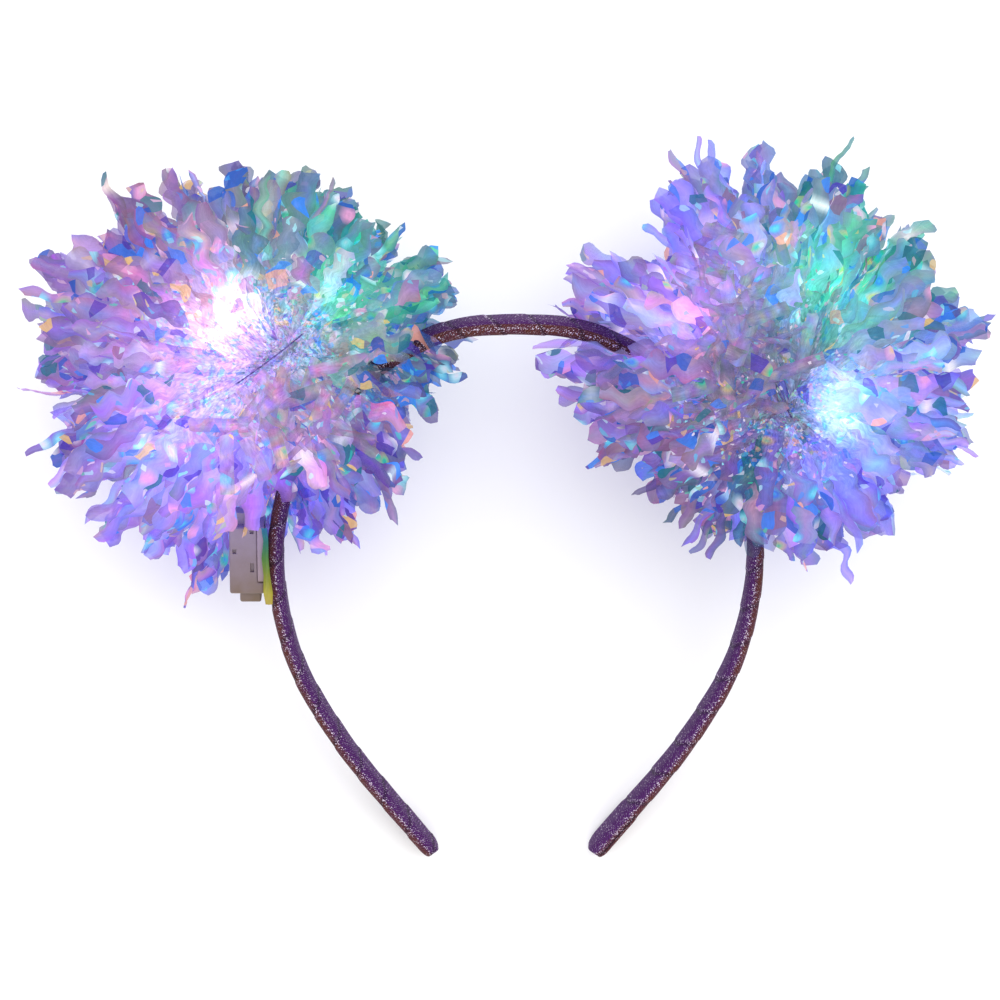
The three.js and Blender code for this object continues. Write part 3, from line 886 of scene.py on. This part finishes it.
def clear_of_wire(name, places):
    """Which strips leave the tie wire open to the front, of strips placed round the pompom's middle."""
    first, last = np.array(POMPOMS[name]["wire"], float)
    run = last - first
    part = np.clip((places[..., :2] - first) @ run / (run @ run), 0, 1)
    off = np.linalg.norm(places[..., :2] - first - part[..., None] * run, axis=-1)
    before = places[..., 2] > WIRE["from_centre"] - WIRE["open_behind"]
    return ~((off < WIRE["open_aside"]) & before).any(1)


def tangled(tangle, rng, points, length):
    """Lays some of the strips crosswise over the front of the pompom, short and every way round."""
    chosen = rng.random(len(points)) < tangle["share"]
    count = chosen.sum()
    length[chosen] = rng.uniform(*TANGLED["length"], count)
    lie = unit(rng.normal(size=(count, 3)) * (1, 1, TANGLED["steepness"]))
    run = ((ROW_PARTS - 0.5) * length[chosen][:, None])[..., None]
    middle = np.array(tangle["at"]) + rng.normal(size=(count, 3)) * tangle["spread"]
    points[chosen] = middle[:, None] + run * lie[:, None]
    return chosen


def film_strips(name):
    """Middle lines, cross and face directions, widths and runs of strips, and which lie crosswise."""
    spec = POMPOMS[name]
    rng = np.random.default_rng(spec["seed"])
    centre = pompom_centre(name)
    ends, share, stray = strip_ends(rng)
    count = len(ends)
    s = ROW_PARTS
    to_floor = (centre[2] - STRIP["over_floor"]) / np.maximum(-ends[:, 2], 0.05)
    length = np.minimum(reach_of(spec, ends) * share, to_floor)
    up = (ends[:, 2] > STRIP["facing_from"])[:, None] * np.array([0, 0, 1.0])
    start = unit(ends + STRIP["lift"] * up + rng.normal(0, STRIP["spread"], (count, 3)))
    root = strip_roots(spec, ends, rng)
    bend = start * (STRIP["bend"] * length)[:, None]
    tip = ends * length[:, None]
    t = s[None, :, None]
    points = root[:, None] * (1 - t) ** 2 + 2 * bend[:, None] * t * (1 - t) + tip[:, None] * t**2
    crosswise = tangled(spec["tangle"], rng, points, length)[:, None]
    forward = unit(np.gradient(points, axis=1))
    face = rng.normal(0, STRIP["face_spread"], (count, 3)) + up
    face = np.repeat(face[:, None], STRIP_ROWS, 1)
    across = unit(np.cross(forward, face))
    face = np.cross(across, forward)
    turn = rng.uniform(-STRIP["twist"], STRIP["twist"], (count, 1)) * s
    turn = turn + kinks(rng, count, STRIP["twist_kinks"])
    cos, sin = np.cos(turn)[..., None], np.sin(turn)[..., None]
    wide = across * cos + face * sin
    thin = face * cos - across * sin
    fade = rising(s, 0.12, 0.52) * np.where(crosswise, TANGLED["crumple"], 1.0)
    crumple = kinks(rng, count, STRIP["crumple"])
    crumple = crumple + rng.normal(0, STRIP["crinkle"], (count, STRIP_ROWS))
    points += thin * (fade * crumple)[..., None]
    along = length[:, None] * s + TANGLED["run_from"] * crosswise
    outer = rising(s, 0.4, 0.75) * ~crosswise
    phase = 2 * np.pi * along / (WAVE["length"] * rng.uniform(*WAVE["uneven"], (count, 1)))
    edges = [np.sin(phase + rng.uniform(0, 6.28, (count, 1))) for _ in range(2)]
    edges = rng.uniform(*WAVE["depth"], (2, count, 1)) * outer * edges
    points += wide * (edges.mean(0) + outer * kinks(rng, count, STRIP["sway"]))[..., None]
    points = past_the_band(name, points + centre, along, rng)
    if name == "left":
        points = past_the_case(points, along)
    width = rng.uniform(*STRIP["width"], count) * np.where(stray, STRAYS["width"], 1.0)
    root_width = STRIP["root_width"]
    opened = root_width + (1 - root_width) * rising(s, 0, 0.4) ** 0.8
    width = width[:, None] * np.where(crosswise, TANGLED["width"], opened)
    width += (edges[1] - edges[0]) * np.where(stray, STRAYS["wave"], 1.0)[:, None]
    width[:, -len(STRIP["tip_width"]) :] *= STRIP["tip_width"]
    clear = clear_of_wire(name, points - centre)
    return rng, *(value[clear] for value in (points, wide, thin, width, along, crosswise))


def deep_parts(rng, count):
    """How much of the deep film colour each point of the strips has: the outer part of some strips."""
    start = rng.uniform(*DEEP_PARTS["from"], (count, 1))
    part = rising(ROW_PARTS, start, start + DEEP_PARTS["fade"])
    chosen = rng.random((count, 1)) < DEEP_PARTS["share"]
    return (np.where(chosen, rng.uniform(*DEEP_PARTS["strength"], (count, 1)), 0.0) * part)[..., None]


def zone_films(name, rng, places):
    """Film colour and share of flashing patches at every point of the strips, from the zones near it."""
    at, spread, plain, flash, deep = zip(*ZONES[name])
    plain, deep = (np.array([linear(FILM[film]) for film in films]) for films in (plain, deep))
    off = places[:, :, None] - np.array(at, float)
    near = np.exp(-(off**2).sum(-1) / (2 * np.array(spread, float) ** 2)) + 0.002
    near /= near.sum(-1, keepdims=True)
    outer = near[:, int(places.shape[1] * 0.75)]
    chosen = (np.cumsum(outer, 1) > rng.random((len(places), 1))).argmax(1)
    film = toward(near @ plain, plain[chosen][:, None], OWN_FILM)
    film = toward(film, deep[chosen][:, None], deep_parts(rng, len(places)))
    return film, near @ np.array(flash)


def glints(rng, count):
    """Painted glints: how much each point of the strips shines, and the pale colour it shines in."""
    middle, breadth = (rng.uniform(*GLINTS[key], (count, 1)) for key in ("at", "breadth"))
    chosen = rng.random((count, 1)) < GLINTS["share"]
    strength = np.where(chosen, rng.uniform(*GLINTS["strength"], (count, 1)), 0.0)
    shine = strength * np.exp(-(((ROW_PARTS - middle) / breadth) ** 2))
    return shine[:, :, None, None], linear(GLINT_FILMS)[rng.integers(0, len(GLINT_FILMS), count)]


def over_the_band(name, points):
    """How clear the strips are at each point, from 0 to 1, where they lie in front of the band."""
    local, gap = near_band(points)
    near = np.where(local[..., 2] > 0, rising(gap, 6.5, 2.5), 0.0)
    return near * band_shows(name, local)


def lamp_fall(lamp, places):
    """Painted light of a lamp at places round the pompom's middle; it reaches farther to the front."""
    off = places - np.array(lamp["at"], float)
    off[..., 2] *= np.where(off[..., 2] > 0, 0.4, 1.0)
    return lamp["power"] / (1 + (off**2).sum(-1) / lamp["spread"] ** 2) ** 1.6


def strip_colours(name, rng, points, crosswise):
    """Film colour, painted light, cover and share of flashing patches at the edges and middle of the
    strips.
    """
    spec = POMPOMS[name]
    places = points - pompom_centre(name)
    count, s = len(places), ROW_PARTS
    film, flash = zone_films(name, rng, places)
    film = film * rng.uniform(*FILM_SHADES, (count, 1, 1))
    tips = rising(s, 0.65, 1.0) * rng.uniform(0, 0.7, (count, 1))
    film = toward(film, linear(TIP_FILM), tips[..., None])
    roots = np.minimum(rising(s, 0.55, 0.2), 0.85) * rng.uniform(0.4, 1, (count, 1))
    film = toward(film, linear(spec["root_film"]), roots[..., None])
    film = toward(film, linear(spec["tangle"]["film"]), TANGLED["film"] * crosswise[..., None])
    tint = [np.stack([kinks(rng, count, FILM_TINT) for _ in range(3)], -1) for _ in range(3)]
    # Painted shade: each strip is darker at its edges than in its middle.
    film = film[:, :, None] * np.exp(np.stack(tint, 2)) * np.array(EDGE_SHADE)[:, None]
    flash = flash * np.clip((s - 0.1) / 0.2, 0.3, 1) * (1.35 - 0.5 * s) * (1 - 0.5 * crosswise)
    cover = rng.uniform(*FILM_COVER, (count, 1)) + 0.2 * rising(s, 0.6, 0.9)
    cover = cover * (1 - 0.75 * over_the_band(name, points))
    # Painted light: the film glows more inside the pompom, in a ring round its middle and near each
    # lamp, whose light also tints the film's colour.
    inner = rising(np.linalg.norm(places, axis=-1), 54, 14)
    from_middle = np.linalg.norm(places[..., :2], axis=-1)
    ring = np.exp(-(((from_middle - RING["radius"]) / RING["breadth"]) ** 2))
    glow = (FILM_LIGHT + spec["inner_light"] * inner + RING["light"] * ring)[..., None] * np.ones(3)
    for lamp in LAMPS:
        if name in lamp["node"]:
            fall = lamp_fall(lamp, places) * rng.uniform(*LAMP_UNEVEN, (count, 1))
            light = linear(lamp["light"])
            glow = glow + fall[..., None] * light
            film = toward(film, light, np.clip(LAMP_TINT * fall, 0, 0.6)[..., None, None])
    shine, pale = glints(rng, count)
    shine = shine * ~crosswise[..., None, None]
    film = toward(film, pale[:, None, None], shine)
    glow = glow[:, :, None] * (1 + 0.7 * shine) * np.ones((3, 1))
    return np.clip(film, 0, 1.3), glow, cover, flash


def tinsel_pompom(name, finish):
    """One mesh of all the wavy film strips of a pompom."""
    rng, points, wide, thin, width, along, crosswise = film_strips(name)
    film, glow, cover, flash = strip_colours(name, rng, points, crosswise)
    count, rows = points.shape[:2]
    crease = rng.normal(0, STRIP["crease"], (count, 1, 1)) * thin
    half = (width / 2)[..., None] * wide
    slant = np.zeros((count, rows, 1))
    slant[:, -1, 0] = rng.normal(0, STRIP["tip_slant"], count)
    slant = slant * unit(points[:, -1] - points[:, -2])[:, None]
    grid = np.stack([points - half + slant, points + crease, points + half - slant], 2)
    grid[..., 2] = np.maximum(grid[..., 2], STRIP["lowest"])
    index = np.arange(count * rows * 3).reshape(count, rows, 3)
    quads = np.stack([index[:, :-1, :-1], index[:, :-1, 1:], index[:, 1:, 1:], index[:, 1:, :-1]], -1)
    mesh = bpy.data.meshes.new(f"tinsel_{name}")
    mesh.from_pydata(grid.reshape(-1, 3) * MM, [], quads.reshape(-1, 4))
    for label, values in (("film", film), ("glow", glow)):
        layer = mesh.attributes.new(label, "FLOAT_COLOR", "POINT")
        rgba = np.insert(values.reshape(-1, 3), 3, 1.0, axis=1)
        layer.data.foreach_set("color", rgba.reshape(-1))
    for label, values in (("cover", cover), ("flash", flash)):
        layer = mesh.attributes.new(label, "FLOAT", "POINT")
        layer.data.foreach_set("value", np.repeat(values.reshape(-1), 3))
    uv = mesh.uv_layers.new(name="strip")
    apart = UV_APART * np.arange(count)[:, None]
    place = np.stack([np.stack([k * width / 2 + apart, along], -1) for k in range(3)], 2)
    uv.data.foreach_set("uv", place.reshape(-1, 2)[quads.reshape(-1)].reshape(-1))
    mesh.update()
    riding_piece(mesh, f"tinsel_{name}", finish, "tinsel_film", f"pompom_{name}")


def hanging_strip(finish):
    """The film strip that hangs between the battery case and the band."""
    mesh = bmesh.new()
    bmesh.ops.create_grid(mesh, x_segments=2, y_segments=HANGING_ROWS, size=1.0, calc_uvs=False)
    uv = mesh.loops.layers.uv.new("strip")
    film, glow = (mesh.verts.layers.float_color.new(label) for label in ("film", "glow"))
    cover, flash = (mesh.verts.layers.float.new(label) for label in ("cover", "flash"))
    stops = np.linspace(0, 1, len(HANGING_STRIP))
    length = HANGING_STRIP[0][1] - HANGING_STRIP[-1][1]
    columns = np.array(HANGING_STRIP).T
    seat = {vert: (vert.co.x, (vert.co.y + 1) / 2) for vert in mesh.verts}
    for vert, (across, part) in seat.items():
        side, rise, depth, width, *colour = (np.interp(part, stops, column) for column in columns)
        bow = HANGING_BOW * (1 - across**2)
        vert.co = Vector(leaning(side + across * width / 2, rise, depth + bow) * MM)
        vert[film] = (*linear(colour), 1.0)
        # Painted light: the same even glow as the film of the pompoms.
        vert[glow] = (FILM_LIGHT, FILM_LIGHT, FILM_LIGHT, 1.0)
        vert[cover] = 0.92
        vert[flash] = 0.0
    for face in mesh.faces:
        for loop in face.loops:
            across, part = seat[loop.vert]
            loop[uv].uv = (across + 2, 40 + part * length)
    finished_piece(mesh, "hanging_strip", finish, "tinsel_film")


# Wrapped band.


def wrap_section(run, turn, length):
    """Depth and outward offset, in millimetres, of a point of the wrapped band's section."""
    right_end = length - run
    lack = max(0.0, 1 - min(run, right_end) / TIP_ROUND)
    close = 0.25 + 0.75 * math.sqrt(1 - lack * lack)
    lift = WRAP["step"] * ((run / WRAP["pitch"] + turn) % 1.0 - 0.5)
    angle = 2 * math.pi * turn
    c, s = math.cos(angle), math.sin(angle)
    if right_end < TIP_FOLD["length"]:
        folded = min(1.0, (TIP_FOLD["length"] - right_end) / TIP_FOLD["ease"])
        crease = math.exp(-(((angle - TIP_FOLD["angle"]) / TIP_FOLD["breadth"]) ** 2))
        lift = folded * (TIP_FOLD["extra"] / 2 - TIP_FOLD["crease"] * crease)
    half_w = BAND_WIDTH / 2 * close + lift
    half_t = BAND_THICK / 2 * (0.6 + 0.4 * close) + lift
    return half_w * math.copysign(abs(c) ** 0.45, c), half_t * math.copysign(abs(s) ** 0.6, s)


def wrapped_band(finish):
    """The band with its wound fabric: each turn of the wrap steps over the one before it."""
    line, length = band_points(BAND_STEPS)
    tangent = unit(np.gradient(line, axis=0))
    outward = np.column_stack([-tangent[:, 1], tangent[:, 0]])
    girth = 2 * (BAND_WIDTH + BAND_THICK) - WRAP["corners"]
    mesh = bmesh.new()
    last = BAND_STEPS - 1
    bmesh.ops.create_grid(mesh, x_segments=last, y_segments=BAND_SIDES, size=1.0, calc_uvs=False)
    uv = mesh.loops.layers.uv.new("wrap")
    lit_side, edge_glint, crease = (mesh.verts.layers.float.new(label) for label in ("lit_side", "edge_glint", "crease"))
    seat = {vert: ((vert.co.x + 1) / 2, (vert.co.y + 1) / 2) for vert in mesh.verts}
    for face in mesh.faces:
        for loop in face.loops:
            part, turn = seat[loop.vert]
            loop[uv].uv = (part * length, turn * girth)
    for vert, (part, turn) in seat.items():
        i = round(part * last)
        run = part * length
        deep, out = wrap_section(run, turn, length)
        at = line[i] + outward[i] * out
        vert.co = Vector(leaning(at[0], at[1], deep) * MM)
        vert.co.z = max(vert.co.z, 0.0)
        # Painted light and shade: how far a point lies on the lit side, the inner side on the legs and
        # the outer side on the crown.
        crown = min(1.0, max(0.0, (line[i][1] - SIDE_LIGHTING["crown_from"]) / SIDE_LIGHTING["crown_fade"]))
        side = math.sin(2 * math.pi * turn) * (2 * crown - 1) - SIDE_LIGHTING["leg"] - SIDE_LIGHTING["crown"] * crown
        vert[lit_side] = 0.5 + 0.5 * max(-1.0, min(1.0, SIDE_LIGHTING["contrast"] * side))
        step = (run / WRAP["pitch"] + turn) % 1.0
        # Painted glints along the ridge of the band and the edges of the wrap turns.
        ridge = math.exp(-((min(turn, 1 - turn) / SEAM["ridge"]) ** 2))
        vert[edge_glint] = max(ridge, math.exp(-(((1 - step) / SEAM["edge"]) ** 2)))
        # Painted shade in the step of each wrap turn, and in the crease of the tip fold.
        vert[crease] = SEAM["crease_shade"] * math.exp(-(((step - SEAM["crease_shade_at"]) / SEAM["crease_shade_breadth"]) ** 2))
        if length - run < TIP_FOLD["length"]:
            vert[crease] = math.exp(-(((2 * math.pi * turn - TIP_FOLD["angle"]) / FOLD_SHADE) ** 2))
    bmesh.ops.remove_doubles(mesh, verts=mesh.verts, dist=1e-6)
    bmesh.ops.holes_fill(mesh, edges=[e for e in mesh.edges if e.is_boundary], sides=0)
    finished_piece(mesh, "wrapped_band", finish, "wrap_fabric", "band")


# Battery case.


def round_edges(mesh, corner):
    bmesh.ops.bevel(
        mesh,
        geom=mesh.edges[:],
        offset=corner,
        offset_type="OFFSET",
        segments=4,
        profile=0.5,
        affect="EDGES",
        material=-1,
    )


def rounded_block(width, length, depth, corner):
    """A moulded block with rounded edges, in millimetres round the origin."""
    mesh = bmesh.new()
    bmesh.ops.create_cube(mesh, size=1.0, matrix=Matrix.Diagonal((width, length, depth, 1.0)))
    round_edges(mesh, corner)
    return mesh


def shell_block():
    """The shell with its sill, as a rounded block of angled outline."""
    left, right = -CASE["width"] / 2, CASE["width"] / 2
    low, high = -CASE["length"] / 2, CASE["length"] / 2
    sill_right, sill_high = left + SILL["width"], low + SILL["length"]
    outline = [(left, low), (sill_right, low), (sill_right, sill_high)]
    outline += [(right, sill_high), (right, high), (left, high)]
    mesh = bmesh.new()
    corners = [mesh.verts.new((x, y, -CASE["depth"] / 2)) for x, y in outline]
    face = mesh.faces.new(corners)
    made = bmesh.ops.extrude_face_region(mesh, geom=[face])["geom"]
    raised = [item for item in made if isinstance(item, bmesh.types.BMVert)]
    bmesh.ops.translate(mesh, verts=raised, vec=(0, 0, CASE["depth"]))
    bmesh.ops.recalc_face_normals(mesh, faces=mesh.faces)
    round_edges(mesh, CASE["corner"])
    return mesh


def press_window(mesh, facing, low, high, depth):
    """Sinks the rectangle between two corners of a flat face, or raises it where depth is positive."""
    flat = [k for k in range(3) if abs(facing[k]) < 0.5]
    for k in flat:
        for place in (low[k], high[k]):
            on_plane = Vector((0, 0, 0))
            across = Vector((0, 0, 0))
            on_plane[k] = place
            across[k] = 1.0
            whole = mesh.verts[:] + mesh.edges[:] + mesh.faces[:]
            bmesh.ops.bisect_plane(mesh, geom=whole, dist=1e-4, plane_co=on_plane, plane_no=across)
    inside = []
    for face in mesh.faces:
        middle = face.calc_center_median()
        if face.normal.dot(facing) > 0.99 and all(low[k] < middle[k] < high[k] for k in flat):
            inside.append(face)
    bmesh.ops.inset_region(
        mesh,
        faces=inside,
        thickness=WINDOW_RIM,
        depth=depth,
        use_even_offset=True,
        use_boundary=True,
    )


def set_beside_leg(mesh, across, along):
    """Moves a piece from the origin to its place beside the left leg of the band."""
    place = (
        Matrix.Translation(Vector(FOOT * MM))
        @ Matrix.Rotation(LEAN, 4, "X")
        @ Matrix.Translation(Vector((CASE["side"] + across, CASE["rise"] + along, 0)) * MM)
        @ Matrix.Scale(MM, 4)
    )
    bmesh.ops.transform(mesh, matrix=place, verts=mesh.verts)


def battery_case(finish):
    """Shell with latch windows, the wire outlet and the switch pocket."""
    front, top, bottom = Vector((0, 0, 1)), Vector((0, 1, 0)), Vector((0, -1, 0))
    mesh = shell_block()
    for latch in LATCHES:
        half = Vector((latch["width"], latch["length"], 0)) / 2
        middle = Vector((latch["across"], latch["along"], 0))
        press_window(mesh, front, middle - half, middle + half, -LATCH_DEPTH)
    half = Vector((OUTLET["width"], 0, OUTLET["depth"])) / 2
    press_window(mesh, top, -half, half, OUTLET["length"])
    middle = Vector((BUTTON["across"], 0, 0))
    half = Vector((BUTTON["width"], 0, BUTTON["depth"])) / 2 + Vector((GAP, 0, GAP))
    pocket = BUTTON["inside"] + BUTTON["travel"] + GAP
    press_window(mesh, bottom, middle - half, middle + half, -pocket)
    set_beside_leg(mesh, 0, 0)
    finished_piece(mesh, "case_shell", finish, "case_plastic", "battery_case")


def battery_lid(finish):
    """Thin lid towards the band, above the sill of the shell."""
    length = CASE["length"] - SILL["length"] - GAP
    mesh = rounded_block(LID["thick"], length, CASE["depth"], LID["corner"])
    across = CASE["width"] / 2 + LID["gap"] + LID["thick"] / 2
    set_beside_leg(mesh, across, (CASE["length"] - length) / 2)
    finished_piece(mesh, "case_lid", finish, "case_plastic", "battery_lid")


def switch_button(finish):
    """Push switch with a shallow dish in its end."""
    length = BUTTON["out"] + BUTTON["inside"]
    mesh = rounded_block(BUTTON["width"], length, BUTTON["depth"], BUTTON["corner"])
    half = Vector((BUTTON["width"] / 2 - BUTTON["rim"], 0, BUTTON["depth"] / 2 - BUTTON["rim"]))
    press_window(mesh, Vector((0, -1, 0)), -half, half, -BUTTON["dish"])
    set_beside_leg(mesh, BUTTON["across"], -CASE["length"] / 2 - BUTTON["out"] + length / 2)
    finished_piece(mesh, "push_switch", finish, "case_plastic", "switch_button", body="button")


# Tie wires and lamps.


def path_frames(path):
    """A matrix at each point of a path, its Z axis along the path, turning as little as it can."""
    frames = []
    side = None
    for i, point in enumerate(path):
        ahead = (path[min(i + 1, len(path) - 1)] - path[max(i - 1, 0)]).normalized()
        side = ahead.orthogonal() if side is None else side
        side = (side - ahead * side.dot(ahead)).normalized()
        turned = Matrix((side, ahead.cross(side), ahead)).transposed().to_4x4()
        frames.append(Matrix.Translation(point) @ turned)
    return frames


def draw_strand(mesh, path, radius):
    """Draws a round strand along a path by extruding a ring from point to point."""
    frames = path_frames(path)
    made = bmesh.ops.create_circle(
        mesh,
        cap_ends=True,
        radius=radius,
        segments=STRAND_SIDES,
        matrix=frames[0],
    )
    edges = list(dict.fromkeys(edge for vert in made["verts"] for edge in vert.link_edges))
    for before, after in zip(frames, frames[1:]):
        made = bmesh.ops.extrude_edge_only(mesh, edges=edges)["geom"]
        ring = [item for item in made if isinstance(item, bmesh.types.BMVert)]
        edges = [item for item in made if isinstance(item, bmesh.types.BMEdge)]
        edges = [edge for edge in edges if set(edge.verts) <= set(ring)]
        bmesh.ops.transform(mesh, matrix=after @ before.inverted(), verts=ring)
    bmesh.ops.contextual_create(mesh, geom=edges)


def tie_wire(name, finish):
    """Two thin strands twisted together across the front of the gathered film."""
    centre = Vector(pompom_centre(name))
    first, last = (Vector((*offset, 0)) for offset in POMPOMS[name]["wire"])
    for end in (first, last):
        end.z = math.sqrt(WIRE["from_centre"] ** 2 - end.x**2 - end.y**2)
    steps = WIRE["steps"]
    middle = [first.lerp(last, i / steps).normalized() * WIRE["from_centre"] for i in range(steps + 1)]
    mesh = bmesh.new()
    for half_turn in (0, math.pi):
        path = []
        for i, frame_at in enumerate(path_frames(middle)):
            angle = half_turn + 2 * math.pi * WIRE["turns"] * i / steps
            off = Vector((math.cos(angle), math.sin(angle), 0)) * WIRE["radius"]
            path.append((centre + frame_at @ off) * MM)
        draw_strand(mesh, path, WIRE["radius"] * MM)
    finished_piece(mesh, f"twisted_wire_{name}", finish, "wire", f"tie_wire_{name}")


def lamp_drop(lamp, finish):
    """A small lamp: a round-nosed drop with a flat collar, on two thin leads."""
    mesh = bmesh.new()
    profile = [mesh.verts.new((radius, 0, height)) for radius, height in LAMP_PROFILE]
    edges = [mesh.edges.new(pair) for pair in zip(profile, profile[1:])]
    bmesh.ops.spin(
        mesh,
        geom=profile + edges,
        axis=(0, 0, 1),
        cent=(0, 0, 0),
        angle=2 * math.pi,
        steps=LAMP_SIDES,
        use_merge=True,
    )
    bmesh.ops.remove_doubles(mesh, verts=mesh.verts, dist=1e-4)
    offset = Vector(lamp["at"])
    foot = LAMP_PROFILE[-1][1]
    stem = offset.length - LAMP_STEM_FROM + foot
    steps = LAMP_LEAD["steps"]
    for side in (-LAMP_LEAD["aside"], LAMP_LEAD["aside"]):
        path = [Vector((side, 0, foot - stem * k / steps)) for k in range(steps + 1)]
        draw_strand(mesh, path, LAMP_LEAD["radius"])
    centre = Vector(pompom_centre(lamp["node"].split("_")[1]))
    turned = offset.to_track_quat("Z", "Y").to_matrix().to_4x4()
    place = Matrix.Scale(MM, 4) @ Matrix.Translation(centre + offset) @ turned
    bmesh.ops.transform(mesh, matrix=place, verts=mesh.verts)
    finished_piece(mesh, lamp["node"].replace("lamp", "lamp_drop"), finish, "lamp", lamp["node"])


# Camera, floor and light.


def camera_above():
    lens = bpy.data.cameras.new("camera")
    lens.lens = 121
    lens.sensor_width = 36
    lens.clip_end = 10
    camera = in_scene("camera", lens)
    eye = Vector((-0.0179, -0.0219, 0.956))
    aim = Vector((-0.0009, 0.0023, 0.05))
    look = (eye - aim).normalized()
    up = Vector((0, 1, 0))
    right = up.cross(look).normalized()
    turned = Matrix((right, look.cross(right), look)).transposed().to_4x4()
    camera.matrix_world = Matrix.Translation(eye) @ turned
    bpy.context.scene.camera = camera


def floor_and_light():
    mesh = bmesh.new()
    bmesh.ops.create_grid(mesh, x_segments=1, y_segments=1, size=3.0)
    data = bpy.data.meshes.new("floor")
    mesh.to_mesh(data)
    mesh.free()
    data.materials.append(floor_finish())
    floor = in_scene("floor", data)
    world = bpy.data.worlds.new("studio")
    bpy.context.scene.world = world
    world.use_nodes = True
    sky = world.node_tree.nodes["Background"]
    dress(world.node_tree, sky, {"Color": (1, 1, 1, 1), "Strength": 1.3})
    lamp = bpy.data.lights.new("softbox", "AREA")
    lamp.energy = 15
    lamp.size = 2.2
    box = in_scene("softbox", lamp)
    box.location = (0.5, 0.9, 1.7)
    box.rotation_euler = (Vector((0, 0, 0)) - box.location).to_track_quat("-Z", "Y").to_euler()
    bpy.context.scene.view_settings.view_transform = "Standard"


film = film_finish()
plastic = case_finish("case_plastic", *CASE_SHADE_TO_LIGHT)
lid_plastic = case_finish("lid_plastic", *LID_SHADE_TO_LIGHT)
dark_wire = wire_finish()
wrapped_band(wrap_finish())
battery_case(plastic)
battery_lid(lid_plastic)
switch_button(plastic)
hanging_strip(film)
for name in POMPOMS:
    tinsel_pompom(name, film)
    tie_wire(name, dark_wire)
    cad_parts[f"pompom_post_{name}"].data.materials[0] = plastic
for lamp in LAMPS:
    lamp_drop(lamp, lamp_finish(lamp["node"], lamp["light"], lamp["power"]))
camera_above()
floor_and_light()
